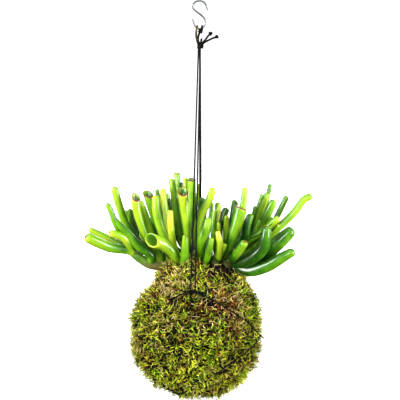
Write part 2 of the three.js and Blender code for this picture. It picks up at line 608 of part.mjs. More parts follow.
/** Profile of a straight blank on its Y axis, as long as the leaf: round-ended or cupped. */
function blankProfile(length, thick, cupped) {
  const end = thick[2] / 2;
  const rings = Math.max(3, Math.round(length / RING_STEP));
  const points = [new THREE.Vector2(0, 0)];
  const reach = length - (cupped ? end * 0.5 : end * 0.9);
  for (let i = 0; i <= rings; i += 1) {
    const share = i / rings;
    points.push(new THREE.Vector2(thickness(thick, share) / 2, reach * share));
  }
  if (cupped) {
    points.push(new THREE.Vector2(end * 1.08, length), new THREE.Vector2(end * 0.74, length - 0.1));
    points.push(new THREE.Vector2(0, length - end * 0.85));
  } else {
    points.push(new THREE.Vector2(end * 0.72, length - end * 0.3), new THREE.Vector2(0, length));
  }
  return points;
}

const CUP_CUT = { from: 0.72, to: 0.94 };   // the shares of a cupped leaf over which the rim's cut sets in

/** Turns a straight blank and bends it along a curve; a cup's rim is cut to look its own way. */
function bentBlank(points, thick, sides, looks) {
  const curve = new THREE.CatmullRomCurve3(points, false, 'centripetal');
  const length = curve.getLength();
  const blank = new THREE.LatheGeometry(blankProfile(length, thick, Boolean(looks)), sides);
  const chord = new THREE.Vector3().subVectors(points[points.length - 1], points[0]);
  const level = new THREE.Vector3().crossVectors(chord, new THREE.Vector3(0, 0, 1)).normalize();
  const gaze = new THREE.Vector3(...looks ?? [0, 0, 0]);
  const position = blank.attributes.position;
  for (let i = 0; i < position.count; i += 1) {
    const share = THREE.MathUtils.clamp(position.getY(i) / length, 0, 1);
    const tangent = curve.getTangentAt(share);
    const side = level.clone().projectOnPlane(tangent).normalize();
    const lift = new THREE.Vector3().crossVectors(side, tangent);
    const offset = side.multiplyScalar(position.getX(i)).addScaledVector(lift, position.getZ(i));
    const place = curve.getPointAt(share).add(offset);
    const cut = THREE.MathUtils.smoothstep(share, CUP_CUT.from, CUP_CUT.to);
    const slope = gaze.clone().projectOnPlane(tangent);
    place.addScaledVector(tangent, -cut * offset.dot(slope));
    position.setXYZ(i, place.x, place.y, place.z);
  }
  return blank;
}

const ROOT_STEPS = 40;
const ROOT_BACK = 2;            // a leaf is rooted this many steps below the nearest place

/** The place on the wood that a leaf grows from, a little below the nearest one. */
function rootOn(wood, point) {
  const shares = Array.from({ length: ROOT_STEPS + 1 }, (_, i) => i / ROOT_STEPS);
  const away = shares.map((share) => wood.getPointAt(share).distanceTo(point));
  const nearest = away.indexOf(Math.min(...away));
  return wood.getPointAt(shares[Math.max(0, nearest - ROOT_BACK)]);
}

/** A stem with its leaves, fused into one body. Its foot stands straight in the soil. */
function buildStem({ wood, thick, leaves }) {
  const [foot, ...rest] = wood.map(fromCrown);
  const line = [foot, foot.clone().lerp(rest[0], 0.5), ...rest];
  const curve = new THREE.CatmullRomCurve3(line, false, 'centripetal');
  const pieces = leaves.map((leaf) => {
    const points = leaf.line.map(fromCrown);
    return bentBlank([rootOn(curve, points[0]), ...points], leaf.thick, LEAF_SIDES, leaf.looks);
  });
  return toGeometry(fuse([bentBlank(line, thick, STEM_SIDES), ...pieces]));
}

// ---- assembly -----------------------------------------------------------------------------------

const zinc = new THREE.MeshStandardMaterial({ color: 0xc9ccd0, roughness: 0.25, metalness: 1 });
const blackCord = new THREE.MeshStandardMaterial({ color: 0x141414, roughness: 0.8, metalness: 0 });
const moss = new THREE.MeshStandardMaterial({ color: 0x7f8a35, roughness: 0.95, metalness: 0 });
const soil = new THREE.MeshStandardMaterial({ color: 0x241a12, roughness: 1, metalness: 0 });
const leafGreen = new THREE.MeshStandardMaterial({ color: 0x6fae12, roughness: 0.35, metalness: 0 });

const group = new THREE.Group();

/** Adds one named piece to the assembly. */
function add(name, geometry, material) {
  const mesh = new THREE.Mesh(geometry, material);
  mesh.name = name;
  group.add(mesh);
}

add('s_hook', buildHook(), zinc);
add('hanger_knot', buildHangerKnot(), blackCord);
STRANDS.forEach((strand) => add(strand.name, buildStrand(strand), blackCord));
add('winding_thread', buildThread(), blackCord);
add('moss_jacket', buildMoss(), moss);
add('soil_core', buildSoil(STEMS), soil);
STEMS.forEach((stem) => add(stem.name, buildStem(stem), leafGreen));

export default group;
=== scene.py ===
"""A kokedama: a moss ball planted with finger jade, hung on black cord from a small S-hook."""
import math
from functools import partial

import bmesh
import bpy
import numpy as np
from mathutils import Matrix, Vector


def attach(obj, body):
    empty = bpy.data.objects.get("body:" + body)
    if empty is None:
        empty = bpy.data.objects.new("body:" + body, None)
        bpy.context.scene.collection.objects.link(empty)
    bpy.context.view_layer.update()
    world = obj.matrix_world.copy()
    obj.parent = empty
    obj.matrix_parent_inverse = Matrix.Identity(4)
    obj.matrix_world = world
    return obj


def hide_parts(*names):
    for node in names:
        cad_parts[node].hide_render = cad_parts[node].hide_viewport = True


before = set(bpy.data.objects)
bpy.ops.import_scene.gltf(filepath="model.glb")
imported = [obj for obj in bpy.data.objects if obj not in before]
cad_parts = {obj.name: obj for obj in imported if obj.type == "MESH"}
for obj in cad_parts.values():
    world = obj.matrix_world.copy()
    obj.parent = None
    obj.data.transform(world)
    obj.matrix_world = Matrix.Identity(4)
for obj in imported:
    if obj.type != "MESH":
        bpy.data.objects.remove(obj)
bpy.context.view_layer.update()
MM = 0.001

# ---- Camera --------------------------------------------------------------------------------
# A long lens a little above the plant, square to its front, as for a catalogue picture.

PICTURE_WIDTH = 0.368  # metres across the picture where the plant hangs
VIEW_DISTANCE = 9
VIEW_UP = math.radians(8)
LOOK_AT = Vector((0.0005, 0, -0.1837))

lens = bpy.data.cameras.new("long_lens")
lens.lens = lens.sensor_width * VIEW_DISTANCE / PICTURE_WIDTH
camera = bpy.data.objects.new("camera", lens)
camera.location = LOOK_AT + VIEW_DISTANCE * Vector((0, -math.cos(VIEW_UP), math.sin(VIEW_UP)))
camera.rotation_euler = (math.pi / 2 - VIEW_UP, 0, 0)
bpy.context.scene.collection.objects.link(camera)
bpy.context.scene.camera = camera

# ---- Hanging strands -----------------------------------------------------------------------
# Four lengths of black three-ply cotton cord, waxed and laid right-handed. They leave the main
# knot side by side and run taut to the tie knots at the front and the back of the ball.

CORD = 1.3 * MM
# Cords are drawn this much thicker than they are, because such thin dark lines come out too pale.
NAP = 1.14
CORD_PITCH = 3.4 * MM
# Where each strand leaves the main knot and where it meets its tie knot, in millimetres.
STRANDS = {
    "strand_front_left": [(-0.95, -0.8, -43.3), (-8.0, -48.1, -259.9)],
    "strand_front_right": [(0.75, -0.8, -43.3), (-4.0, -48.1, -259.9)],
    "strand_back_near": [(0.2, 0.9, -43.3), (0.5, 36.2, -249.8)],
    "strand_back_far": [(0.7, 2.5, -43.3), (1.6, 38.0, -249.8)],
}


def feed(node, *values, **named):
    """Gives a node's sockets their values, the unnamed ones in the order of the sockets in use. A value is
    a constant, a hex colour, a socket, or a node, which stands for its first output in use."""
    used = [socket for socket in node.inputs if socket.enabled]
    places = {socket.name.replace(" ", "_"): socket for socket in reversed(used)}
    for socket, value in [*zip(used, values), *((places[name], value) for name, value in named.items())]:
        if isinstance(value, bpy.types.Node):
            value = next(output for output in value.outputs if output.enabled)
        if isinstance(value, bpy.types.NodeSocket):
            node.id_data.links.new(value, socket)
        else:
            socket.default_value = colour(value) if str(value).startswith("#") else value


def add_node(tree, kind, *values, stops=(), **named):
    """Adds a node with its settings, named in small letters, its sockets' values and a ramp's stops."""
    made = tree.nodes.new(kind)
    for i, (at, code) in enumerate(stops):
        steps = made.color_ramp.elements
        stop = steps[i] if i < len(steps) else steps.new(at)
        stop.position = at
        stop.color = colour(code)
    settings = [name for name in named if name.islower()]
    for name in settings:
        setattr(made, name, named.pop(name))
    feed(made, *values, **named)
    return made


def colour(code):
    """An sRGB hex colour as linear RGBA."""
    channels = [int(code[i:i + 2], 16) / 255 for i in (1, 3, 5)]
    linear = [c / 12.92 if c <= 0.04045 else ((c + 0.055) / 1.055) ** 2.4 for c in channels]
    return (*linear, 1)


def new_material(name):
    """A new material, what adds its nodes, its shader, and the object's own coordinates."""
    made = bpy.data.materials.new(name)
    made.use_nodes = True
    node = partial(add_node, made.node_tree)
    return made, node, made.node_tree.nodes["Principled BSDF"], node("ShaderNodeTexCoord").outputs["Object"]


def waxed_cotton(name, dark, worn_and_lit):
    """Waxed cotton cord: dyed fibre, near black on the black cord, soft shine on the crowns, and paler
    patches: scuffing on the black cord, a painted highlight on the khaki loop.
    """
    made, node, shader, place = new_material(name)
    fibre = node("ShaderNodeTexNoise", place, 1800, 4)
    # Paler patches: scuffing on the black cord, painted highlight on the khaki loop.
    rub_and_highlight_patches = node("ShaderNodeTexNoise", place, 160, 3)
    wear_and_highlight = node("ShaderNodeMapRange", rub_and_highlight_patches, 0.5, 0.72)
    tint = node("ShaderNodeMix", wear_and_highlight, dark, worn_and_lit, data_type="RGBA")
    bump = node("ShaderNodeBump", Height=fibre, Strength=0.5, Distance=0.0002)
    feed(shader, Base_Color=tint, Normal=bump, Roughness=0.7, Specular_IOR_Level=0.08)
    return made


def new_tree(name, sockets):
    """Starts a geometry tree that takes and gives geometry: what adds its nodes, and its named inputs."""
    tree = bpy.data.node_groups.new(name, "GeometryNodeTree")
    tree.interface.new_socket("Geometry", in_out="OUTPUT", socket_type="NodeSocketGeometry")
    tree.interface.new_socket("Geometry", in_out="INPUT", socket_type="NodeSocketGeometry")
    for socket, kind in sockets.items():
        tree.interface.new_socket(socket, in_out="INPUT", socket_type="NodeSocket" + kind)
    return partial(add_node, tree), tree.nodes.new("NodeGroupInput").outputs


def finish_tree(node, geometry, material):
    """Ends a geometry tree with real mesh, smooth faces and its material, and gives the tree."""
    real = node("GeometryNodeRealizeInstances", geometry)
    smooth = node("GeometryNodeSetShadeSmooth", real)
    painted = node("GeometryNodeSetMaterial", smooth, Material=material)
    return node("NodeGroupOutput", painted).id_data


def three_ply_tree():
    """Cord along any line: a three-lobed section that turns once in every pitch."""
    node, given = new_tree("three_ply_cord", {
        "Diameter": "Float", "Pitch": "Float", "Lobe": "Float", "Step": "Float", "Sides": "Int",
        "Material": "Material"})
    line = node("GeometryNodeMeshToCurve", given["Geometry"])
    even = node("GeometryNodeResampleCurve", line, mode="LENGTH", Length=given["Step"])
    along = node("GeometryNodeSplineParameter")
    turns = node("ShaderNodeMath", along.outputs["Length"], given["Pitch"], operation="DIVIDE")
    angle = node("ShaderNodeMath", turns, 2 * math.pi, operation="MULTIPLY")
    laid = node("GeometryNodeSetCurveTilt", even, Tilt=angle)
    radius = node("ShaderNodeMath", given["Diameter"], 0.5, operation="MULTIPLY")
    circle = node("GeometryNodeCurvePrimitiveCircle", given["Sides"], radius)
    place = node("GeometryNodeInputPosition")
    parts = node("ShaderNodeSeparateXYZ", place)
    around = node("ShaderNodeMath", parts.outputs["Y"], parts, operation="ARCTAN2")
    tripled = node("ShaderNodeMath", around, 3, operation="MULTIPLY")
    lobes = node("ShaderNodeMath", tripled, operation="COSINE")
    inward = node("ShaderNodeMath", lobes, 1, operation="SUBTRACT")
    depth = node("ShaderNodeMath", inward, given["Lobe"], operation="MULTIPLY")
    pull = node("ShaderNodeVectorMath", place, depth, operation="SCALE")
    section = node("GeometryNodeSetPosition", circle, Offset=pull)
    swept = node("GeometryNodeCurveToMesh", laid, Profile_Curve=section, Fill_Caps=True)
    return finish_tree(node, swept, given["Material"])


def new_object(name, vertices, edges=(), faces=()):
    """An object whose mesh holds its place, with the object itself at the origin."""
    mesh = bpy.data.meshes.new(name)
    mesh.from_pydata([tuple(v) for v in vertices], edges, faces)
    made = bpy.data.objects.new(name, mesh)
    bpy.context.scene.collection.objects.link(made)
    return made


def grow(piece, tree, **sizes):
    """Runs a geometry tree on a piece and leaves what it gives as the piece's plain mesh."""
    modifier = piece.modifiers.new("grow", "NODES")
    modifier.node_group = tree
    for socket in tree.interface.items_tree:
        name = socket.name.replace(" ", "_")
        if socket.in_out == "INPUT" and name in sizes:
            modifier[socket.identifier] = sizes[name]
    view = bpy.context.evaluated_depsgraph_get()
    mesh = bpy.data.meshes.new_from_object(piece.evaluated_get(view))
    piece.modifiers.clear()
    piece.data = mesh
    return piece


def line_object(name, lines, closed=()):
    """An object of plain lines, in millimetres; those whose place in the list is in closed join up."""
    vertices, edges = [], []
    for i, line in enumerate(lines):
        first = len(vertices)
        vertices += [Vector(point) * MM for point in line]
        edges += [(k, k + 1) for k in range(first, len(vertices) - 1)]
        if i in closed:
            edges.append((len(vertices) - 1, first))
    return new_object(name, vertices, edges)


def straight(start, end, count):
    """Points spaced evenly from start to end."""
    return [tuple(Vector(start).lerp(Vector(end), i / (count - 1))) for i in range(count)]


cord_tree = three_ply_tree()
black_cord = waxed_cotton("waxed_cotton_cord_black", "#050505", "#171614")
CORD_LOOK = {"Pitch": CORD_PITCH, "Lobe": 0.06, "Step": 0.55 * MM, "Sides": 12, "Material": black_cord}

for name, (top, foot) in STRANDS.items():
    route = straight(top, foot, 20)
    strand = grow(line_object("cord_" + name, [route]), cord_tree, Diameter=CORD * NAP, **CORD_LOOK)
    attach(strand, "root")
    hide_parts(name)

# ---- S-hook --------------------------------------------------------------------------------
# One length of 1.7 mm steel wire, bent cold into an S and bright zinc plated. It is only hooked
# over its support and through the cord.

WIRE = 1.7 * MM
# The wire's centre line from the open end of the upper bend to that of the lower one.
HOOK_LINE = [
    (7.5, -8.9), (6.7, -4.9), (5.4, -1.9), (2.9, 0.2), (0, 0.85), (-3.2, 0.1), (-5.6, -2.1), (-6.2, -4.5),
    (-5.1, -7), (-2.1, -9.6), (0.8, -11.7), (3.5, -14.2), (5.3, -17), (5.5, -19.7), (4.1, -22.6),
    (1.9, -24.4), (-0.5, -24.9), (-3.3, -23.3), (-5.1, -19.9), (-6.1, -16.1),
]


def slope(before, here, after, gap_in, gap_out):
    """How fast a centripetal curve runs through a point."""
    return (here - before) / gap_in - (after - before) / (gap_in + gap_out) + (after - here) / gap_out


def smooth_line(points, step):
    """A centripetal Catmull-Rom curve through the points, as points about a step apart."""
    points = np.array(points, float)
    whole = np.vstack([2 * points[0] - points[1], points, 2 * points[-1] - points[-2]])
    gaps = np.sqrt(np.linalg.norm(np.diff(whole, axis=0), axis=1))
    fine = []
    for i in range(1, len(whole) - 2):
        start, end = whole[i], whole[i + 1]
        leave = slope(whole[i - 1], start, end, gaps[i - 1], gaps[i]) * gaps[i]
        arrive = slope(start, end, whole[i + 2], gaps[i], gaps[i + 1]) * gaps[i]
        for t in np.linspace(0, 1, 16, endpoint=False):
            fine.append((2 * t**3 - 3 * t**2 + 1) * start + (t**3 - 2 * t**2 + t) * leave
                        + (3 * t**2 - 2 * t**3) * end + (t**3 - t**2) * arrive)
    fine.append(points[-1])
    return even_line(np.array(fine), step)


def reaches(line):
    """How far along a line each of its points is."""
    return np.concatenate([[0], np.cumsum(np.linalg.norm(np.diff(line, axis=0), axis=1))])


def even_line(line, step):
    """The same line with its points evenly about a step apart."""
    reach = reaches(line)
    wanted = np.linspace(0, reach[-1], max(2, round(reach[-1] / step) + 1))
    return np.column_stack([np.interp(wanted, reach, line[:, axis]) for axis in range(3)])


def bright_zinc():
    """Zinc-plated steel wire: a clean bluish-white metal with fine drawing lines and dull specks."""
    made, node, shader, place = new_material("bright_zinc_plated_steel")
    drawn = node("ShaderNodeTexNoise", place, 900, 5)
    specks = node("ShaderNodeTexVoronoi", place, 1400)
    rough = node("ShaderNodeMapRange", drawn, 0, 1, 0.36, 0.56)
    dull = node("ShaderNodeMix", specks, "#8b908d", "#5f6460", data_type="RGBA")
    bump = node("ShaderNodeBump", Height=drawn, Strength=0.15, Distance=0.00005)
    feed(shader, Base_Color=dull, Roughness=rough, Normal=bump, Metallic=1)
    return made


wire_line = smooth_line([(x, 0, z) for x, z in HOOK_LINE], 0.4)
hook = grow(line_object("s_hook_wire", [wire_line]), cord_tree, Diameter=WIRE, Pitch=1.0, Lobe=0.0,
            Step=0.35 * MM, Sides=24, Material=bright_zinc())
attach(hook, "root")
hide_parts("s_hook")

# ---- Main knot -----------------------------------------------------------------------------
# The cord is doubled over the lower bend of the hook and gathered in one overhand knot. Two loops go over
# the wire, one of them olive with cream patches of painted highlight, and three cut ends stand out, two
# with a stopper.

KNOT = Vector((0.4, 0.6, -40.4))
KNOT_RADIUS = 1.75
OVER_WIRE = 1.6  # from the wire's centre to the cord's, in millimetres
LOOP_SLACK = 0.6
TAIL_CORD, KHAKI_HIGHLIT_CORD = 2.05 * MM, 2.1 * MM  # drawn thicker than the cord is, as the strands are
HITCH = Vector((0.6, 0, -28.5))
HITCH_WIDE, HITCH_DEEP = 1.3, 2.3
HITCH_TURN, HITCH_DRIFT, HITCH_RISE = 1.3, 0.09, 0.374  # in radians, across and up, for each point
# Each loop, front and back alike: its places across and up, from the knot to the wire.
LOOPS = {
    "khaki_highlit": [(-1.4, -39.2), (-2.5, -34.9), (-3.1, -30.2), (-2.7, -26), (-2.2, -24.6)],
    "black": [(-0.6, -38.6), (-1.2, -35.6), (-0.9, -31.6), (0.8, -27.2), (2.3, -24.6)],
}
TAILS = [
    [(0.6, -0.6, -40), (3.2, -0.6, -37.6), (5.8, 0.1, -34.6), (8.4, 0.2, -31.2), (10, 0.2, -29.7)],
    [(0.8, -1.2, -40.6), (4.4, -1.2, -37.6), (8.6, -0.6, -35.4), (12.6, -0.3, -33.6), (15.4, -0.3, -32.5)],
    [(0.8, -0.9, -40), (1.6, -0.9, -36.6), (1.9, -0.8, -33.8)],
]


def hook_loop(side):
    """A loop that comes up from the knot in front of the wire, goes over it and down behind."""
    front = [(x, -OVER_WIRE * min(1, 0.4 + i / 4), z) for i, (x, z) in enumerate(side)]
    x, z = side[-1]
    behind = [(px, -py, pz) for px, py, pz in reversed(front)]
    return [*front, (x + 0.1, 0, z + OVER_WIRE + LOOP_SLACK), *behind]


def coil(centre, radius, low, high, turns, lean=0.0):
    """Turns of cord wound round an upright bundle."""
    steps = round(14 * turns)
    points = []
    for i in range(steps + 1):
        angle = 2 * math.pi * turns * i / steps
        rise = low + (high - low) * i / steps
        x = centre.x + radius * math.cos(angle)
        points.append((x, centre.y + radius * math.sin(angle), centre.z + rise + lean * (x - centre.x)))
    return points


def stopper(centre, size, turned=0.0):
    """A small overhand stopper knot: a trefoil drawn tight."""
    points = []
    for i in range(24):
        angle = 2 * math.pi * i / 24
        x = math.sin(angle) + 2 * math.sin(2 * angle)
        y = math.cos(angle) - 2 * math.cos(2 * angle)
        spin = Vector((x, -math.sin(3 * angle), y)) * size
        points.append(tuple(Vector(centre) + Vector((
            spin.x * math.cos(turned) - spin.z * math.sin(turned), spin.y,
            spin.x * math.sin(turned) + spin.z * math.cos(turned)))))
    return points


knot_runs = [
    coil(KNOT, KNOT_RADIUS, -2.6, 2.6, 2.8, 0.25),
    [(-1.4, -1.7, -43), (-0.6, -2.3, -41.4), (0.8, -2.4, -39.6), (2.0, -1.6, -38)],
    [(2.2, -0.8, -42.8), (3.0, 0.4, -41), (2.5, 1.4, -39.2), (0.6, 2.3, -38)],
    [(0.4, 0.6, -43.6), (0.4, 0.6, -37.6)],
    hook_loop(LOOPS["black"]),
    *TAILS,
]
# The black loop is hitched round itself just under the wire: turns that lean and rise as they go.
knot_runs.append([(HITCH.x + HITCH_DRIFT * i + HITCH_WIDE * math.cos(HITCH_TURN * i),
                   HITCH.y + HITCH_DEEP * math.sin(HITCH_TURN * i), HITCH.z + HITCH_RISE * i)
                  for i in range(11)])
stoppers = [stopper((10.2, 0.2, -29.4), 0.42), stopper((15.8, -0.3, -32.4), 0.38, 1.1)]
smooth_runs = [smooth_line(run, 0.4) for run in knot_runs]
knot_lines = line_object("hanger_knot_cord", stoppers + smooth_runs, closed=range(len(stoppers)))
knot = grow(knot_lines, cord_tree, Diameter=TAIL_CORD, **CORD_LOOK)
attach(knot, "root")
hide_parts("hanger_knot")

# The khaki loop: dark olive cord with cream patches, the cream a painted highlight on its lit side.
khaki_highlit_cord = waxed_cotton("waxed_cotton_cord_faded", "#2c260c", "#c4ba80")
khaki_highlit_line = smooth_line(hook_loop(LOOPS["khaki_highlit"]), 0.4)
KHAKI_HIGHLIT_LOOK = {**CORD_LOOK, "Pitch": 5 * MM, "Lobe": 0.3, "Material": khaki_highlit_cord}
khaki_highlit = grow(line_object("hanger_knot_faded_loop", [khaki_highlit_line]), cord_tree, Diameter=KHAKI_HIGHLIT_CORD,
             **KHAKI_HIGHLIT_LOOK)
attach(khaki_highlit, "root")

# ---- Moss mat ------------------------------------------------------------------------------
# Sheet moss wrapped round the root ball, green side out. Under the shoots it is a felt of old brown stems,
# painted near black: partly their dark colour, partly painted shade for the deep gaps between the shoots.
# It is held by the thread alone, which pulls it in along each turn.

BALL = Vector((-3.2, 0, -305.4))
BALL_RADIUS = 59.6
BALL_FLAT = 60.2
# How much fuller than a sphere the ball is at its shoulders, and how much more so at the right one;
# then at its top, haunch and foot. Each is at an angle from the top, with a width, both in degrees.
SHOULDER, SHOULDER_RIGHT, SHOULDER_AT = 4.8, 2, (42, 26)
SWELLS = [(2.9, 0, 22), (1.6, 138, 30), (2.4, 180, 34)]
GROOVE_DEPTH, GROOVE_HALF, GROOVE_FADE = 1.2, 4, 10
# Tufts and the fine grain on them: how many waves, the shortest, the longest, and their height.
TUFT_WAVES, TUFT_SHORTEST, TUFT_LONGEST, TUFT_HEIGHT = 9, 12, 26, 0.55
GRAIN_WAVES, GRAIN_SHORTEST, GRAIN_LONGEST, GRAIN_HEIGHT = 12, 4, 9, 0.32
MAT_INSET = 3.4     # the felt lies this far under the tips of the moss
SHOULDER_INSET = 2.4  # and this much more at the shoulders, where the shoots stand up
SHOULDER_TILT = 2.6   # the left shoulder lies lower and the right one higher by this share
DROP_AT = 48, 20  # the shoulders' angle from the top and their width there
SOIL_EDGE, SOIL_TOP = 58, 66
MOUTH = Vector((2, 2, 0))
MOUTH_RADIUS = 33
MAT_INNER, MAT_OUTER = 26, 36  # from all over the soil to all over the ball, from the mouth's middle
TOP_LOW, TOP_HIGH = 34, 46     # where the ball's side turns into its top
OVER_SOIL, BARE_DEPTH = 1.2, 6  # how far the mat lies over the soil, and is sunk in it where it is bare
BARE = {"x": 16.5, "y": -9.5, "wide": 22, "deep": 18.5}  # where no moss covers the soil
# Mounds of moss pressed up against the feet of the stems: place across and deep, height, width.
MOUNDS = [(38, -12, 5, 8), (38, 3, 4.5, 7), (-32, -12, 6, 9), (-12, -24, 3, 8), (-33, 8, 4, 10),
          (2, 38, 3, 12)]


def unit(vector):
    """The vector at length 1."""
    return np.array(vector, float) / np.linalg.norm(vector)


FRONT_TIE = unit((-2.8, -47.7, 43))
BACK_TIE = unit((4.1, 36.5, 52.6))
# Each turn of thread is the circle through three directions from the middle of the ball.
TURNS = [
    (FRONT_TIE, (26.7, -48, 26.3), (60.7, -2, -7.4)),
    (BACK_TIE, (-24, -27, -48), -BACK_TIE),
    ((55.2, -26.7, -4.6), (33.1, -47.3, -21.2), (12.9, -49.7, -33.9)),
    (FRONT_TIE, (-19.3, -48, 36.4), (-59.8, -5, 1.6)),
    ((6, -44, 40), (-3, -57, 20), (-6, 44, -40)),
]


def turn_circle(a, b, c):
    """The plane of a turn on the unit ball: its normal and its distance from the centre."""
    normal = unit(np.cross(unit(b) - unit(a), unit(c) - unit(a)))
    return normal, float(normal @ unit(a))


CIRCLES = [turn_circle(*turn) for turn in TURNS]


def smoothstep(value, low, high):
    """0 below low, 1 above high, and smooth between them."""
    share = np.clip((value - low) / (high - low), 0, 1)
    return share * share * (3 - 2 * share)


def hump(angle, middle, width):
    """A smooth hump, 1 at the middle."""
    return np.exp(-(((angle - middle) / width) ** 2))


def polar_angle(direction):
    """Degrees down from the top of the ball."""
    return np.degrees(np.arccos(np.clip(direction[..., 2], -1, 1)))


def ball_radius(direction):
    """Radius of the smooth ball: fuller at the shoulders, the top, the haunch and the foot."""
    polar = polar_angle(direction)
    shoulder = (SHOULDER + SHOULDER_RIGHT * direction[..., 0]) * hump(polar, *SHOULDER_AT)
    return BALL_RADIUS + shoulder + sum(swell * hump(polar, at, wide) for swell, at, wide in SWELLS)


def seeded(seed):
    """A random draw that gives the same numbers every time."""
    state = seed
    while True:
        state = (state * 1664525 + 1013904223) % 4294967296
        yield state / 4294967296


def wave_field(direction, seed, count, shortest, longest):
    """A sum of waves over the ball with random headings, lengths and phases."""
    draw = seeded(seed)
    total = np.zeros(direction.shape[:-1])
    for _ in range(count):
        z = 2 * next(draw) - 1
        angle = 2 * math.pi * next(draw)
        flat = math.sqrt(1 - z * z)
        heading = np.array([flat * math.cos(angle), flat * math.sin(angle), z])
        length = shortest + (longest - shortest) * next(draw)
        phase = 2 * math.pi * next(draw)
        total += np.sin(2 * math.pi * BALL_RADIUS / length * direction @ heading + phase)
    return total


# Along these stretches of each turn, as directions, the thread lies bare on top of the moss.
BARE_STRETCHES = [
    [(0, -48, 42), (6, -50, 39), (15, -52, 32), (22, -52, 29), (30, -50, 25), (37, -47, 21), (43, -43, 16),
     (50, -39, 8), (56, -30, 0), (61, -18, -5), (-30, 46, 28), (-44, 30, 18)],
    [(-24, -34, -48), (-16, -36, -50), (24, 50, -24), (18, 54, 6)],
    [(55, -31, -4), (50, -39, -8), (43, -45, -13), (36, -50, -16), (28, -53, -22), (20, -53, -28),
     (56, 14, 20)],
    [(-19, -48, 36), (-15, -48, 39), (-8, -47, 42), (-10, 60, 5), (20, 54, 22)],
    [(-6, 44, -40), (-44, 20, -38)],
]


def spots(directions, places):
    """Sum of soft round spots over the ball, from directions, widths in millimetres and strengths."""
    total = np.zeros(directions.shape[:-1])
    for place, width, gain in places:
        away = np.arccos(np.clip(directions @ unit(place), -1, 1)) * BALL_RADIUS / width
        total += gain * np.exp(-(away**2))
    return total


def bareness(direction, turn):
    """How bare a turn of thread lies: 1 on its bare stretches and 0 where moss has grown over it."""
    return np.clip(spots(direction, [(place, 6, 1.0) for place in BARE_STRETCHES[turn]]), 0, 1)


def thread_distances(direction, radius):
    """How far over the surface each turn of thread is."""
    return [np.abs(np.arcsin(np.clip(direction @ normal, -1, 1)) - math.asin(offset)) * radius
            for normal, offset in CIRCLES]


def groove(direction, radius):
    """1 along the thread and 0 away from it."""
    return 1 - smoothstep(np.min(thread_distances(direction, radius), axis=0), GROOVE_HALF, GROOVE_FADE)


def soil_height(across):
    """Height of the soil dome over the ball's centre, by distance from the middle of the mouth."""
    share = np.clip(across / MOUTH_RADIUS, 0, 1)
    return SOIL_TOP - (SOIL_TOP - SOIL_EDGE) * share**2.2


def bare_share(x, y, seed_wave=0.0):
    """1 in the patch of bare soil and 0 outside it."""
    away = np.hypot((x - BARE["x"]) / BARE["wide"], (y - BARE["y"]) / BARE["deep"])
    return 1 - smoothstep(away + 0.08 * seed_wave, 0.75, 1.1)


def shoulder_drop(direction):
    """How much deeper the felt lies at the shoulders."""
    return (SHOULDER_INSET - SHOULDER_TILT * direction[..., 0]) * hump(polar_angle(direction), *DROP_AT)


def ball_points(points):
    """For an icosphere's points: their directions, the moss surface there and how bare it is of moss."""
    direction = points / np.linalg.norm(points, axis=1, keepdims=True)
    radius = ball_radius(direction)
    sunk = groove(direction, radius)
    tufts = TUFT_HEIGHT * wave_field(direction, 11, TUFT_WAVES, TUFT_SHORTEST, TUFT_LONGEST)
    grain = GRAIN_HEIGHT * wave_field(direction, 5, GRAIN_WAVES, GRAIN_SHORTEST, GRAIN_LONGEST)
    surface = radius + (1 - sunk) * (tufts + grain) - sunk * GROOVE_DEPTH - MAT_INSET
    surface -= shoulder_drop(direction)
    downward = np.maximum(-direction[:, 2], 1e-6)
    surface = np.minimum(surface, np.where(direction[:, 2] < 0, (BALL_FLAT - MAT_INSET) / downward, 999))
    place = direction * surface[:, None]
    across = np.hypot(place[:, 0] - MOUTH.x, place[:, 1] - MOUTH.y)
    high = smoothstep(place[:, 2], TOP_LOW, TOP_HIGH)
    over_soil = (1 - smoothstep(across, MAT_INNER, MAT_OUTER)) * high
    bare = bare_share(place[:, 0], place[:, 1], wave_field(direction, 8, 6, 8, 16)) * high
    covered = soil_height(across) + OVER_SOIL + 0.5 * grain - BARE_DEPTH * bare
    place[:, 2] = place[:, 2] * (1 - over_soil) + covered * over_soil
    for x, y, rise, wide in MOUNDS:
        away = np.hypot(place[:, 0] - x, place[:, 1] - y) / wide
        place[:, 2] += rise * np.exp(-away**2) * high * (1 - bare)
    return direction, place, bare


def icosphere(name, detail):
    """An icosphere of radius 1 as a new object."""
    made = new_object(name, [])
    shape = bmesh.new()
    bmesh.ops.create_icosphere(shape, subdivisions=detail, radius=1)
    shape.to_mesh(made.data)
    shape.free()
    return made


def point_array(mesh):
    """The mesh's points as an array."""
    points = np.empty(len(mesh.vertices) * 3, np.float32)
    mesh.vertices.foreach_get("co", points)
    return points.reshape(-1, 3).astype(float)


def set_points(mesh, points):
    """Moves the mesh's points, given in millimetres."""
    mesh.vertices.foreach_set("co", (points * MM).astype(np.float32).ravel())
    mesh.update()


def store(mesh, name, values):
    """Stores a number for each point of the mesh."""
    mesh.attributes.new(name, "FLOAT", "POINT").data.foreach_set("value", np.asarray(values, np.float32))


def skin(piece, material):
    """Gives a piece its material and smooth faces."""
    piece.data.materials.append(material)
    piece.data.polygons.foreach_set("use_smooth", np.ones(len(piece.data.polygons), bool))


def moss_felt():
    """Old moss stems under the shoots: brown-black felt, partly painted shade, with flecks of dead straw
    and dull green.
    """
    made, node, shader, place = new_material("old_moss_felt")
    fibres = node("ShaderNodeTexNoise", place, 900, 6)
    # The near-black stops are painted shade for the deep gaps between the shoots.
    ramp = node("ShaderNodeValToRGB", fibres,
                stops=[(0.3, "#040301"), (0.5, "#0b0803"), (0.64, "#181405"), (0.8, "#3a2f12")])
    bump = node("ShaderNodeBump", Height=fibres, Strength=0.8, Distance=0.001)
    feed(shader, Base_Color=ramp, Normal=bump, Roughness=1.0, Specular_IOR_Level=0.05)
    return made


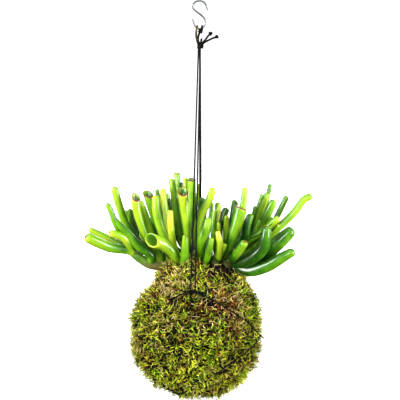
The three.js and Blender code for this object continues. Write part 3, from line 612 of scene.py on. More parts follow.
mat = icosphere("moss_mat", 7)
directions, mat_points, mat_bare = ball_points(point_array(mat.data))
set_points(mat.data, mat_points + np.array(BALL))
skin(mat, moss_felt())
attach(mat, "root")
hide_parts("moss_jacket")

# ---- Moss shoots ---------------------------------------------------------------------------
# Living moss: thin branching shoots 6 to 11 mm long, lying over each other at all angles, in patches
# of yellow-green, fresh green, olive, straw and rust-brown. They grow from the felt.

SHOOT_THICK = 0.47 * MM  # radius with its tiny leaves
SHOOT_SHORT, SHOOT_LONG = 6 * MM, 11.5 * MM
SHOOT_BEND = 9 * MM
LEAST_CLEAR, MORE_CLEAR = 0.25, 0.7  # the share of shoots missing over sunk thread, and more over bare
PATCH_WAVES, PATCH_SHORTEST, PATCH_LONGEST, PATCH_HEIGHT = 7, 18, 60, 2.2
THINNEST, DENSEST, THINNEST_SPOT = 0.12, 3.2, 0.05  # shoots there, as a share of the usual number
CLEAR_BAND = 1.3, 4.1  # from the thread's middle, in millimetres: cleared as far as here, grown from there
# Shoots for each kind: their number, colours and patchiness, and the spots where they crowd, each a
# direction from the middle of the ball, a width in millimetres and how many times denser it is.
# Each kind's root colour is dark: painted shade at the foot of its shoots, under the others.
SHOOTS = {
    "yellow_green": {
        "number": 4700, "seed": 3, "root": "#0b0d02", "tip": "#d4da40", "wave": 41, "patch": 0.6,
        "spots": [((-30, -46, -32), 24, 0.6), ((34, -36, -42), 24, 1.6), ((0, -50, -38), 20, 0.6),
                  ((58, -20, 8), 14, 0.6), ((31, -46, 29), 12, -0.8), ((36, -48, 8), 11, -0.7),
                  ((-26, -32, 48), 12, -0.5), ((4, -54, 30), 9, -0.6), ((18, -34, 50), 10, -0.6)]},
    "fresh_green": {
        "number": 3000, "seed": 4, "root": "#0a1403", "tip": "#8ab829", "wave": 42, "patch": 0.9,
        "spots": [((-6, -60, 16), 12, 1.4), ((20, -58, -4), 12, 1.2), ((-44, -32, 20), 14, 1.0),
                  ((31, -46, 29), 13, -0.9), ((36, -48, 8), 12, -0.9), ((4, -54, 30), 9, -0.8),
                  ((-26, -32, 48), 14, -0.8), ((18, -34, 50), 10, -0.8)]},
    "olive": {
        "number": 3000, "seed": 5, "root": "#0e0b03", "tip": "#8c8a2c", "wave": 43, "patch": 0.4,
        "spots": [((-34, -48, -14), 14, 1.2)]},
    "straw": {
        "number": 1400, "seed": 6, "root": "#3a2409", "tip": "#ecd08a", "wave": 44, "patch": 0.9,
        "spots": [((-26, -32, 48), 14, 5), ((-10, -36, 52), 9, 3), ((34, -42, 30), 12, 4),
                  ((-44, -20, 42), 10, 3), ((36, -48, 8), 9, 2.5), ((4, -54, 30), 7, 2)]},
    "rust": {
        "number": 700, "seed": 7, "root": "#150804", "tip": "#9e5e2a", "wave": 45, "patch": 0.5,
        "spots": [((31, -46, 29), 10, 16), ((37, -47, 10), 9, 13), ((4, -54, 30), 8, 11),
                  ((-37, -32, 41), 7, 6), ((20, -58, -15), 5, 14), ((-50, -34, -22), 8, 9),
                  ((50, -30, -28), 7, 7), ((26, -44, 38), 8, 12), ((14, -40, 46), 6, 8)]},
}
BLACK_GAPS = [((-14, -58, 22), 5), ((-44, -42, -16), 6), ((-26, -54, 8), 5), ((52, -30, -24), 5),
              ((-40, -38, -34), 6), ((10, -52, 38), 4), ((8, -60, 12), 4)]


def shoot_tree():
    """Shoots that stand on a surface, lean over at random, curl, and taper to their tips."""
    node, given = new_tree("moss_shoots", {
        "Per Square Metre": "Float", "Cover": "String", "Seed": "Int", "Shortest": "Float",
        "Longest": "Float", "Thickness": "Float", "Bend": "Float", "Least Lean": "Float",
        "Most Lean": "Float", "Points": "Int", "Material": "Material"})
    cover = node("GeometryNodeInputNamedAttribute", Name=given["Cover"])
    density = node("ShaderNodeMath", cover, given["Per Square Metre"], operation="MULTIPLY")
    feet = node("GeometryNodeDistributePointsOnFaces", given["Geometry"], Density=density,
                Seed=given["Seed"])
    lean = node("FunctionNodeRandomValue", given["Least Lean"], given["Most Lean"], Seed=given["Seed"])
    spin = node("FunctionNodeRandomValue", 0.0, 2 * math.pi, Seed=17)
    angles = node("ShaderNodeCombineXYZ", X=lean, Z=spin)
    leaning = node("FunctionNodeEulerToRotation", angles)
    stance = node("FunctionNodeRotateRotation", feet.outputs["Rotation"], leaning, rotation_space="LOCAL")
    length = node("FunctionNodeRandomValue", given["Shortest"], given["Longest"], Seed=29)
    line = node("GeometryNodeCurvePrimitiveLine")
    line = node("GeometryNodeResampleCurve", line, Count=given["Points"])
    shoots = node("GeometryNodeInstanceOnPoints", feet, Instance=line, Rotation=stance, Scale=length)
    shade = node("FunctionNodeRandomValue", 0.0, 1.0, Seed=31)
    shaded = node("GeometryNodeStoreNamedAttribute", shoots, domain="INSTANCE", Name="shade", Value=shade)
    real = node("GeometryNodeRealizeInstances", shaded)
    along = node("GeometryNodeSplineParameter")
    tipped = node("GeometryNodeStoreNamedAttribute", real, Name="tip", Value=along)
    shade_read = node("GeometryNodeInputNamedAttribute", Name="shade")
    own = node("ShaderNodeMath", shade_read, 0.4, operation="MULTIPLY")
    place = node("GeometryNodeInputPosition")
    moved = node("ShaderNodeVectorMath", place, own)
    curl = node("ShaderNodeTexNoise", moved, 240, 1)
    centred = node("ShaderNodeVectorMath", curl.outputs[1], (0.5, 0.5, 0.5), operation="SUBTRACT")
    reach = node("ShaderNodeMath", along, given["Bend"], operation="MULTIPLY")
    bend = node("ShaderNodeVectorMath", centred, reach, operation="SCALE")
    curled = node("GeometryNodeSetPosition", tipped, Offset=bend)
    left = node("ShaderNodeMath", 1.04, along, operation="SUBTRACT")
    taper = node("ShaderNodeMath", left, 0.5, operation="POWER")
    section = node("GeometryNodeCurvePrimitiveCircle", 3, given["Thickness"])
    swept = node("GeometryNodeCurveToMesh", curled, Profile_Curve=section, Scale=taper)
    return finish_tree(node, swept, given["Material"])


def living_moss(name, root, tip):
    """Moss shoots: painted shade darkens the foot, where light is lost, and the tip is paler."""
    made, node, shader, place = new_material(name)
    height = node("ShaderNodeAttribute", attribute_name="tip")
    shade = node("ShaderNodeAttribute", attribute_name="shade")
    leafing = node("ShaderNodeTexNoise", place, 1500, 3)
    # Painted shade: each shoot goes to its root colour at its foot, where the shoots over it shut out the
    # light.
    grown = node("ShaderNodeMapRange", height.outputs["Fac"], 0.36, 0.9)
    body = node("ShaderNodeMix", grown, root, tip, data_type="RGBA")
    light = node("ShaderNodeMath", shade.outputs["Fac"], leafing, operation="ADD")
    value = node("ShaderNodeMapRange", light, 0.48, 1.4, 0.06, 2.0)
    varied = node("ShaderNodeHueSaturation", Saturation=1.03, Value=value, Color=body)
    bump = node("ShaderNodeBump", Height=leafing, Strength=0.6, Distance=0.0004)
    feed(shader, Base_Color=varied, Normal=bump, Roughness=0.7, Specular_IOR_Level=0.1)
    return made


def moss_growth(name, number, share, **sizes):
    """Shoots on a copy of the moss mat: their number if they covered the whole ball, and where they do."""
    store(mat.data, "cover_" + name, share)
    piece = new_object(name, [])
    piece.data = mat.data.copy()
    return grow(piece, shoots_tree, Per_Square_Metre=number / BALL_AREA, Cover="cover_" + name, **sizes)


BALL_AREA = 4 * math.pi * (BALL_RADIUS * MM) ** 2
shoots_tree = shoot_tree()
# Shoots are sparse over bare soil and over the thread, which shows as a broken black line, and a few
# holes in the moss go down to the felt.
holes = np.clip(spots(directions, [(*hole, 1.0) for hole in BLACK_GAPS]), 0, 0.85)
on_thread = np.max([
    (LEAST_CLEAR + MORE_CLEAR * bareness(directions, i)) * (1 - smoothstep(away, *CLEAR_BAND))
    for i, away in enumerate(thread_distances(directions, BALL_RADIUS))], axis=0)
open_share = (1 - mat_bare) * (1 - on_thread) * (1 - holes)
for name, kind in SHOOTS.items():
    patch = wave_field(directions, kind["wave"], PATCH_WAVES, PATCH_SHORTEST, PATCH_LONGEST) / PATCH_HEIGHT
    cover = np.clip(1 + kind["patch"] * patch, THINNEST, DENSEST) + spots(directions, kind["spots"])
    cover = np.clip(cover, THINNEST_SPOT, None)
    shoots = moss_growth("moss_shoots_" + name, kind["number"], cover * open_share, Seed=kind["seed"],
                         Shortest=SHOOT_SHORT, Longest=SHOOT_LONG, Thickness=SHOOT_THICK, Bend=SHOOT_BEND,
                         Least_Lean=math.radians(38), Most_Lean=math.radians(94), Points=7,
                         Material=living_moss("living_moss_" + name, kind["root"], kind["tip"]))
    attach(shoots, "root")

# ---- Soil ----------------------------------------------------------------------------------
# Dark bonsai soil packed round the roots. It shows only at the front right, where the moss stops
# short of the stems, as black crumbs with a few pale grains. The moss holds it.

SOIL_RADIUS, SOIL_FOOT = 31.5, 20
SOIL_ROLL = 0.5  # how far its surface rises and falls
CRUMBS_PER_SQUARE_METRE = 420000


def wet_soil():
    """Wet soil: almost black humus with brown crumbs and a few pale grains of pumice."""
    made, node, shader, place = new_material("wet_humus_soil")
    grain = node("ShaderNodeTexVoronoi", place, 700)
    ramp = node("ShaderNodeValToRGB", grain.outputs["Color"],
                stops=[(0.2, "#040201"), (0.58, "#0d0704"), (0.82, "#2a190b"), (0.94, "#8a744c")])
    rough = node("ShaderNodeTexNoise", place, 1500, 5)
    bump = node("ShaderNodeBump", Height=rough, Strength=0.7, Distance=0.0006)
    feed(shader, Base_Color=ramp, Normal=bump, Roughness=0.9, Specular_IOR_Level=0.1)
    return made


def crumb_tree():
    """Crumbs scattered over a surface: small lumps of many sizes, sunk a little."""
    node, given = new_tree("soil_crumbs", {
        "Per Square Metre": "Float", "Seed": "Int", "Smallest": "Float", "Largest": "Float",
        "Material": "Material"})
    feet = node("GeometryNodeDistributePointsOnFaces", given["Geometry"], Density=given["Per Square Metre"],
                Seed=given["Seed"])
    lump = node("GeometryNodeMeshIcoSphere", 1.0, 1)
    size = node("FunctionNodeRandomValue", given["Smallest"], given["Largest"], Seed=2)
    spin = node("FunctionNodeRandomValue", (0, 0, 0), (6.28, 6.28, 6.28), data_type="FLOAT_VECTOR", Seed=5)
    turned = node("FunctionNodeEulerToRotation", spin)
    crumbs = node("GeometryNodeInstanceOnPoints", feet, Instance=lump, Rotation=turned, Scale=size)
    both = node("GeometryNodeJoinGeometry", crumbs)
    feed(both, given["Geometry"])
    return finish_tree(node, both, given["Material"])


rings, spokes = 26, 72
soil_points = [(MOUTH.x, MOUTH.y, float(soil_height(0.0)))]
for i in range(1, rings + 1):
    for k in range(spokes):
        away = SOIL_RADIUS * i / rings
        angle = 2 * math.pi * k / spokes
        soil_points.append((MOUTH.x + away * math.cos(angle), MOUTH.y + away * math.sin(angle),
                            float(soil_height(away)) + SOIL_ROLL * math.sin(0.9 * away + 3 * angle)))
soil_points += [(x, y, SOIL_FOOT) for x, y, _ in soil_points[-spokes:]] + [(MOUTH.x, MOUTH.y, SOIL_FOOT)]
soil_faces = [(0, 1 + k, 1 + (k + 1) % spokes) for k in range(spokes)]
for i in range(rings):
    start = 1 + i * spokes
    for k in range(spokes):
        n = (k + 1) % spokes
        soil_faces.append((start + k, start + spokes + k, start + spokes + n, start + n))
last = len(soil_points) - 1
soil_faces += [(last, last - spokes + (k + 1) % spokes, last - spokes + k) for k in range(spokes)]
soil = new_object("soil_top", [(Vector(p) + BALL) * MM for p in soil_points], faces=soil_faces)
grow(soil, crumb_tree(), Per_Square_Metre=CRUMBS_PER_SQUARE_METRE, Seed=4, Smallest=0.3 * MM,
     Largest=1.2 * MM, Material=wet_soil())
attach(soil, "root")
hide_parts("soil_core")

# ---- Stray fibres --------------------------------------------------------------------------
# Old straw-coloured stems and fine roots, 10 to 20 mm long, that came with the moss. They lie over
# the shoots, most of them round the crown, and a few stand off the ball.

fibre_material = living_moss("dead_grass_stem", "#8a6a34", "#e6d294")
crown_share = smoothstep(mat_points[:, 2], 5, 50)
fibre_share = (0.3 + 1.6 * crown_share) * (1 - 0.5 * mat_bare)
fibres = moss_growth("moss_stray_fibres", 620, fibre_share, Seed=12, Shortest=10 * MM, Longest=20 * MM,
                     Thickness=0.24 * MM, Bend=13 * MM, Least_Lean=math.radians(62),
                     Most_Lean=math.radians(88), Points=9, Material=fibre_material)
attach(fibres, "root")

# Fine dark whiskers stand off the ball all round, 8 to 12.5 mm long, but not off its top.
whisker_share = (1 - mat_bare) * smoothstep(-mat_points[:, 2], -48, -30)
whiskers = moss_growth("moss_whiskers", 900, whisker_share, Seed=14, Shortest=8 * MM, Longest=12.5 * MM,
                       Thickness=0.4 * MM, Bend=8 * MM, Least_Lean=math.radians(10),
                       Most_Lean=math.radians(50), Points=6,
                       Material=living_moss("dark_moss_stem", "#140d05", "#4a4a18"))
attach(whiskers, "root")

# ---- Winding thread ------------------------------------------------------------------------
# One length of black cotton thread wound five times round the ball, crossing itself, and knotted at
# the front and the back where the hanging strands tie on. It presses into the moss.

THREAD = 1.4 * MM
THREAD_LIFT, BARE_LIFT = -1.4, 3.7  # over the ball's own radius, where it is sunk and where it is bare
TIE_BARE = 0.6  # how bare the tie knots lie
THREAD_WANDER = ((0.35, 7, 0), (0.25, 19, 1))  # its ups and downs: height, waves in a turn, start


def thread_place(direction, bare=0.0):
    """Where the thread runs in a direction from the ball's centre, higher where it lies bare."""
    hidden = THREAD_LIFT - shoulder_drop(direction)
    return direction * (ball_radius(direction) + hidden + (BARE_LIFT - hidden) * bare)


def thread_turn(turn, sweep=(0, 360), steps=180):
    """Points of a turn, from its first direction on towards its second."""
    normal, offset = CIRCLES[turn]
    first = unit(unit(TURNS[turn][0]) - offset * normal)
    side = np.cross(normal, first)
    flat = math.sqrt(1 - offset**2)
    points = []
    for i in range(steps):
        angle = math.radians(sweep[0] + (sweep[1] - sweep[0]) * i / steps)
        direction = flat * (first * math.cos(angle) + side * math.sin(angle)) + offset * normal
        dip = sum(height * math.sin(waves * angle + start) for height, waves, start in THREAD_WANDER)
        place = thread_place(direction, float(bareness(direction, turn)))
        points.append(place + dip * direction + np.array(BALL))
    return points


def wound_tie(direction, along, length, radius, turns):
    """A tie knot: close turns of thread round the run that it sits on."""
    centre = thread_place(direction, TIE_BARE) + np.array(BALL)
    run = unit(along - direction * (along @ direction))
    side = np.cross(direction, run)
    points = []
    for i in range(round(12 * turns) + 1):
        angle = math.pi * i / 6
        offset = (i / (12 * turns) - 0.5) * length
        around = radius * (math.cos(angle) * side + math.sin(angle) * direction)
        points.append(centre + run * offset + around)
    return points


# Two cut ends lie on the moss at either side of the front tie.
CUT_ENDS = [[(3, -1.4, 0.4), (5.2, -2.2, -0.4), (7.2, -1.8, -2.2)],
            [(-2.5, -1.6, -0.4), (-5.4, -2.2, -1.4), (-8.5, -2, -3.4), (-11, -1, -5.6)]]
# A third one stands off the right side of the ball.
LOOSE_END = [(54, -16, 1), (58.5, -14, -2), (62.6, -13, -5)]
tie_middle = thread_place(FRONT_TIE, TIE_BARE) + np.array(BALL)
turns = [thread_turn(turn) for turn in range(4)]
turns += [thread_turn(4, sweep=(-3, 268)),
          wound_tie(FRONT_TIE, unit((58, -15, -5)), 6.5, 1.0, 5),
          wound_tie(BACK_TIE, unit((-24, -27, -48)), 4.5, 1.2, 4)]
turns += [[tie_middle + np.array(offset) for offset in cut_end] for cut_end in CUT_ENDS]
turns.append([np.array(BALL) + np.array(offset) for offset in LOOSE_END])
thread = grow(line_object("winding_thread_run", turns, closed=range(4)), cord_tree, Diameter=THREAD,
              **{**CORD_LOOK, "Pitch": 2.6 * MM, "Sides": 9})
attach(thread, "root")
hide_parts("winding_thread")

# ---- Finger jade ---------------------------------------------------------------------------
# Ten rooted stems of a jade whose leaves are rolled into tubes. Each leaf is one smooth water-filled
# finger, many with a cupped end and a red-brown rim. The stems stand in the soil.

CROWN = 62  # where the stems leave the soil, above the ball's centre
LEAF_SIDES = 20
RIM_RED = 0.7  # how red most rims are
LEAF_STEP = 1.7
TONES = {"dark": 0.16, "deep": 0.27, "mid": 0.4, "bright": 0.65, "yellow": 0.86, "pale": 0.76}
# A cup from its lip's outer side over the rim and down inside: how far back from the leaf's end and how
# wide, both in radii of that end, and how near the rim, below 0 inside.
CUP = [(0.42, 1.01, 0), (0.25, 1.01, 0.2), (0.11, 0.98, 0.75), (0.02, 0.91, 1), (0.02, 0.84, 0.85),
       (0.18, 0.77, 0), (0.5, 0.7, -0.8), (1.1, 0.54, -1), (1.5, 0.35, -1), (1.6, 0, -1)]
CUP_LEAN = 0.72, 0.94  # the share of the leaf where its end starts to be cut askew, and fully is
WOOD_TONE, WOOD_SHARE = 0.3, 0.8  # the stems are green under their bark
CARRIED = ("along", "rim", "outer", "tone", "red", "wood")  # what each point tells the leaf's material
# Each stem: its wood from the foot outward, its thickness there, half way and at the end, and its
# leaves: tone, thickness at the root, half way and below the tip, and line. For a leaf with a cup or
# an uncommon rim, the rim's redness and the way the cup looks follow; the longer that is, the more
# steeply the cup is cut. Places are x, depth and height above the crown.
STEMS = {
    "leafy_stem_left": {
        "wood": [(-22, 1, -18), (-23, 0, -3), (-31, -6, -0.5), (-42, -10, 1.5), (-51.5, -12, 7),
                 (-60, -13, 13.5)],
        "thick": (9, 9.5, 7), "leaves": [
        ("bright", (6.7, 9, 9.6), [(-62, -14, 14.5), (-79, -20, 18.5), (-88.5, -24, 23),
         (-101.5, -29, 30)]),
        ("bright", (4.4, 5.4, 5.4), [(-62, -12.5, 15), (-73, -10, 21.5), (-86, -8.5, 28),
         (-98.5, -8, 33.5)]),
        ("mid", (4.6, 5, 4.6), [(-42, -12, 8), (-46, -15, 16.6), (-52.5, -18.5, 24)]),
        ("mid", (7, 8.6, 6), [(-41, -14, 9.5), (-53, -18, 20), (-65, -19, 33), (-77, -20, 46)]),
        ("mid", (5, 5.4, 5), [(-73.5, -20, 39.5), (-76.5, -20.5, 48), (-78.5, -21, 53.5),
         (-82, -21.5, 59.5)], 0.6, None),
        ("yellow", (5.5, 7.2, 7), [(-65, -21, 26), (-72, -24, 30.5), (-80, -27, 33)]),
        ("mid", (5, 5.6, 5.6), [(-43.5, -7, 14.5), (-52.5, -6, 22.5), (-60.5, -6, 33), (-65.5, -6, 41.5)]),
        ("bright", (5.6, 7, 6.8), [(-64, -6, 35.5), (-68.5, -7, 49.5), (-72, -8, 61), (-75, -9, 73)]),
        ("mid", (3.6, 4.2, 4), [(-57, -3, 29), (-59.3, 1, 35), (-61, 2, 51.5)]),
        ("dark", (3, 3.6, 3.4), [(-54, -2, 27), (-57, 5, 41), (-59, 6, 50)]),
        ("bright", (5.4, 7.4, 8), [(-34, -8.5, 11), (-44, -11, 23.4), (-51.5, -14, 42.5), (-54.5, -16, 54),
         (-55.2, -17, 65)], 0.9, (0.3, -0.8, 0)),
        ("bright", (4.6, 6.2, 5.2), [(-37, -7, 14.5), (-43.5, -9, 38), (-47.5, -10, 50.5),
         (-51.5, -11, 60.5)], 0.85, None),
        ("dark", (3.6, 4, 3.8), [(-31, -3, 14), (-39.4, 3, 32.5), (-40.5, 5, 44.5)]),
        ("mid", (4.6, 5.6, 9), [(-28, -2, 13), (-32, 2, 27), (-38.5, 3, 43),
         (-44.2, 4, 65)], 0.9, (0.4, -0.7, 0)),
    ]},
    "leafy_stem_front_left": {
        "wood": [(-12, -9, -18), (-12.5, -10, 4), (-16, -14, 10)],
        "thick": (9, 9, 7.6), "leaves": [
        ("bright", (6, 8.4, 7.6), [(-20.5, -13, 13), (-27, -13.5, 23.5), (-34, -14, 41.6),
         (-36.6, -14, 54), (-36.5, -14, 66)], 0.6, None),
        ("yellow", (4.6, 6.6, 5.8), [(-18.5, -8, 13), (-24, -3, 31.6), (-28.5, 0, 50), (-30.5, 2, 70)]),
        ("yellow", (7.4, 7, 5.2), [(-17.5, -17, 10), (-21.5, -22, 24), (-23, -25, 39.5), (-23.5, -26, 54)]),
        ("bright", (7, 10.5, 13), [(-17, -18, 8), (-22, -22.5, 15), (-31, -27, 23),
         (-41, -32, 27)], 0.3, (-0.1, -0.8, -0.15)),
        ("mid", (5.6, 7.6, 4.8), [(-11, -21, 5), (-10, -28, 17.5), (-10, -32, 32)]),
        ("bright", (4.6, 7.4, 9.8), [(-8, -17, 18), (-8.5, -19, 34.5), (-10, -21.5, 51.5),
         (-12, -24, 71.5)], 0.9, (0.05, -0.7, 0)),
    ]},
    "leafy_stem_centre": {"wood": [(-6, 10, -18), (-6, 10, 4), (-7, 9, 10)], "thick": (9, 9, 7), "leaves": [
        ("mid", (3.6, 4.4, 4.2), [(-16, 9, 12), (-26.7, 10, 25.2), (-32.4, 12, 43.5), (-36, 14, 68)]),
        ("dark", (3.4, 3.8, 3.6), [(-14, 11, 16), (-20.2, 13, 34), (-25, 16, 59)]),
        ("bright", (4.6, 6.2, 5.6), [(-10.5, 8, 14), (-14.5, 6, 25), (-19, 8, 52), (-22.5, 10, 78)]),
        ("bright", (4, 4, 5.8), [(-8.5, 12, 16), (-12, 14, 43), (-16, 18, 68),
         (-17.6, 22, 81.5)], 0.9, (0.15, -0.45, 0)),
        ("dark", (3.6, 4, 3.2), [(-7.5, 11, 15), (-10, 12, 39), (-13.5, 16, 74)]),
        ("pale", (4.4, 5.4, 4.2), [(-6.8, 6, 14), (-6.4, 3, 43), (-10, 4, 80)]),
        ("mid", (5, 7.4, 7.8), [(-5.5, 5, 13), (-3.9, -1.5, 38), (-4, -4, 79.5)], 0.9, (0, -0.25, 0)),
    ]},
    "leafy_stem_front_right": {
        "wood": [(6, -6, -18), (6, -7, 4), (5, -10, 9)],
        "thick": (8.6, 8.6, 7.4), "leaves": [
        ("bright", (5, 7.4, 6.6), [(2.6, -10, 14), (1, -10, 31), (5.1, -10, 48.4), (11.4, -11, 59.7),
         (16, -12, 73)]),
        ("mid", (4.6, 6.4, 6), [(7, -4, 13), (5, 5, 30), (4.4, 8, 46), (6, 8, 61)]),
        ("mid", (3.6, 4.2, 3.8), [(8, -7, 13), (12, 0, 36), (15, 2, 57)]),
        ("mid", (6.4, 9.2, 7.2), [(4, -16, 11), (5.5, -26, 26), (9.4, -29, 38), (12, -30, 47.5)]),
        ("mid", (5, 6.2, 5.4), [(9, -18, 6), (12.4, -28, 18.4), (14.5, -30, 29)]),
    ]},
    "leafy_stem_right": {
        "wood": [(17, -8, -18), (18, -9, 4), (22, -13, 9)],
        "thick": (8.6, 8.4, 7.4), "leaves": [
        ("pale", (5, 6.8, 5), [(20.5, -20, 10), (22, -27.5, 23), (19.5, -28, 35)]),
        ("mid", (3.6, 4, 3.6), [(23, -20, 11), (25.6, -26, 18), (27, -27.5, 23)]),
        ("pale", (3.4, 3.6, 3.2), [(22, -14, 18), (21.6, -16, 33), (20.5, -17, 41.5)]),
        ("pale", (4.4, 5, 5), [(19.5, -11, 14), (17.2, -9, 34), (19.5, -8, 44), (21.5, -6, 57)]),
        ("mid", (4, 4.4, 4), [(18.4, -12, 12), (15.6, -13, 28), (17, -13, 52)]),
        ("dark", (4.8, 7, 6.8), [(21, -7, 14), (20.4, 1, 30), (24.8, 3, 43.6), (28.5, 4, 52)], 0.9, None),
        ("bright", (3.8, 4.6, 4.6), [(24.3, -14, 13), (27.6, -16, 27), (28, -18, 48)]),
        ("mid", (6.2, 9.4, 12), [(26, -15, 11), (31.7, -20, 24), (37.3, -23, 40),
         (41.5, -24, 56)], 0.9, (0.15, 0.1, 0)),
        ("dark", (4, 5.2, 4.8), [(24, -9, 13), (30.5, -2, 33), (37, 0, 58.5)]),
        ("bright", (4.6, 6.8, 6), [(26, -10, 13), (37.5, -8, 35), (42.6, -8, 51),
         (45.5, -8, 72.5)], 0.4, None),
    ]},
    "leafy_stem_far_right": {
        "wood": [(26, 8, -18), (27, 8, 4), (34, 6, 10)],
        "thick": (8.6, 8.6, 7.6), "leaves": [
        ("dark", (5, 8, 6.8), [(39.5, -1, 14), (45.4, -8, 27), (47.2, -10, 39), (51, -10, 48.5)]),
        ("mid", (3.8, 4.4, 4.2), [(40, 3, 15), (50, 1, 34), (55, 2, 54)]),
        ("bright", (4.8, 6.8, 6.2), [(38, 5, 13), (51.5, 4, 33.4), (59.3, 4, 50), (66, 4, 65.5)]),
        ("mid", (3.6, 4, 3.8), [(40, 8, 17), (53, 9, 39), (61, 12, 63.5)], 0.6, None),
        ("mid", (3.8, 4.8, 4.4), [(40, 9, 14), (59.8, 12, 43.4), (65.5, 14, 59), (68.5, 16, 72.5)]),
        ("mid", (5.4, 8.4, 7.4), [(39, 3, 11), (53, -1.5, 24), (63, -4.5, 42), (72, -6, 60.5)]),
        ("mid", (4.4, 5.6, 4.6), [(42, -1, 14), (51, -5, 25.3), (58.5, -6, 42.5)]),
        ("mid", (4.4, 5.8, 5.2), [(42, 6, 10), (57, 6, 19), (70, 6.5, 35), (77.7, 7, 49.7), (84, 8, 62.5)]),
        ("bright", (4.6, 6, 6.8), [(40, -2, 13), (48.8, -7, 23), (62, -11.5, 33), (76.5, -14, 45.5)]),
    ]},
    "leafy_stem_low_right": {
        "wood": [(28, -5, -18), (28.5, -6, 4), (35, -11, 5)],
        "thick": (8.6, 8.6, 7.6), "leaves": [
        ("dark", (8, 13, 8.8), [(41, -19, 4), (53.5, -28, 11.5), (61.5, -33.5, 21), (64, -37, 31.5),
         (65, -38, 41)]),
        ("deep", (7.4, 14.4, 11), [(44, -12, 4.5), (58.5, -17, 9.5), (74, -21, 22), (89.5, -22, 36)]),
        ("deep", (6.8, 11.4, 8.4), [(38.5, -15, 0.5), (48.5, -21, -3), (65.5, -28, 2.5), (78.5, -32, 10.5),
         (90.5, -34, 17.5)]),
        ("bright", (5.2, 7, 6.8), [(42.7, -9.5, 7.3), (59, -7, 20), (76, -4.5, 34.6), (91, -3, 49.3),
         (99.5, -2, 60.4), (107, -2, 64)]),
        ("bright", (3.6, 3.8, 3.6), [(58, -8, 18), (69.9, -8, 29.6), (76, -8, 38.5)]),
        ("mid", (5.6, 7.4, 7.4), [(34, -22, 8), (39, -36, 17), (45, -46, 27.5)]),
        ("bright", (4.2, 4.8, 4.4), [(33.5, -18, 7), (35, -26, 12.5), (37.5, -30, 18)]),
    ]},
    "leafy_stem_back_left": {
        "wood": [(-17, 17, -18), (-18, 18, 4), (-24, 23, 8)],
        "thick": (8.4, 8.4, 7), "leaves": [
        ("mid", (5, 7.4, 6.6), [(-31, 26, 12), (-45, 33, 22), (-60.5, 37, 43)]),
        ("bright", (4.8, 6.8, 6), [(-34, 20, 13), (-50, 20, 24), (-66.5, 20, 47)]),
        ("dark", (5.4, 8.6, 7.4), [(-30, 30, 10), (-42, 44, 15), (-57, 54.5, 30)]),
        ("mid", (4.6, 6.4, 6), [(-25, 26, 14), (-31, 38, 28), (-35, 45.5, 51)]),
        ("bright", (4.4, 6, 5.4), [(-26, 22, 15), (-36, 25, 34), (-43.5, 26, 58)]),
        ("mid", (5, 8, 7), [(-25, 31, 8), (-31, 48, 10), (-36.5, 64, 22.5)]),
        ("bright", (4.2, 5.8, 5.4), [(-22, 23, 16), (-24, 30, 38), (-27, 33, 60)], 0.9, (0, 0.5, 0)),
        ("dark", (5.2, 8.2, 7.2), [(-35, 25, 8), (-53, 31, 9), (-73, 35, 21.5)]),
    ]},
    "leafy_stem_back": {
        "wood": [(-4, 27, -18), (-4, 27, 4), (-5, 31, 9)],
        "thick": (8.4, 8.4, 7), "leaves": [
        ("mid", (5, 7.6, 6.6), [(-6, 38, 11), (-9, 52, 20), (-13, 62.5, 39)]),
        ("bright", (5, 7.8, 7), [(0, 40, 9), (6, 55, 16), (10.5, 66.5, 32)]),
        ("pale", (4, 4.6, 3.6), [(-3, 34, 16), (-3, 40, 38), (1.5, 37, 56), (3, 32.5, 70)]),
        ("mid", (4.4, 6, 5.6), [(-9, 35, 14), (-14, 41, 32), (-17, 46.5, 55)]),
        ("dark", (5.2, 8.2, 7.2), [(-5, 41, 7), (-8, 58, 9), (-10, 73, 19.5)]),
        ("bright", (4.2, 5.4, 5), [(-8, 30, 16), (-12, 31, 36), (-14, 33, 61)], 0.9, (0, 0.45, 0)),
        ("mid", (4.4, 6.2, 5.6), [(0, 36, 14), (5, 46, 30), (9, 52.5, 51)]),
    ]},
    "leafy_stem_back_right": {
        "wood": [(20, 20, -18), (21, 21, 4), (26, 26, 8)],
        "thick": (8.4, 8.4, 7), "leaves": [
        ("bright", (5, 7.4, 6.6), [(34, 30, 11), (47, 39, 22), (58.5, 44.5, 42)]),
        ("mid", (5, 7.2, 6.4), [(37, 26, 10), (54, 28, 20), (71, 30, 39)]),
        ("dark", (5.2, 8.2, 7.2), [(29, 34, 9), (37, 48, 15), (44.5, 58.5, 31)]),
        ("mid", (4.4, 6.2, 5.6), [(28, 30, 15), (33, 37, 33), (36, 42.5, 54)]),
        ("bright", (4.4, 6, 5.6), [(23, 31, 14), (21, 40, 32), (20, 47.5, 51)]),
        ("bright", (4.2, 5.6, 5.2), [(30.4, 25, 15.6), (39, 27, 32.5), (45, 28, 52.5)], 0.9, (0.3, 0.4, 0)),
        ("dark", (5.2, 8.2, 7.2), [(38, 31, 6), (55, 41, 8), (71, 49.5, 19.5)]),
        ("mid", (5, 7.8, 6.8), [(25, 36, 8), (25, 53, 11), (27, 68, 25)]),
    ]},
}


def thickness(thick, share):
    """Thickness along a leaf or stem, from its three stated values."""
    root, middle, end = thick
    return (root * (1 - share) * (1 - 2 * share) + 4 * middle * share * (1 - share)
            + end * share * (2 * share - 1))


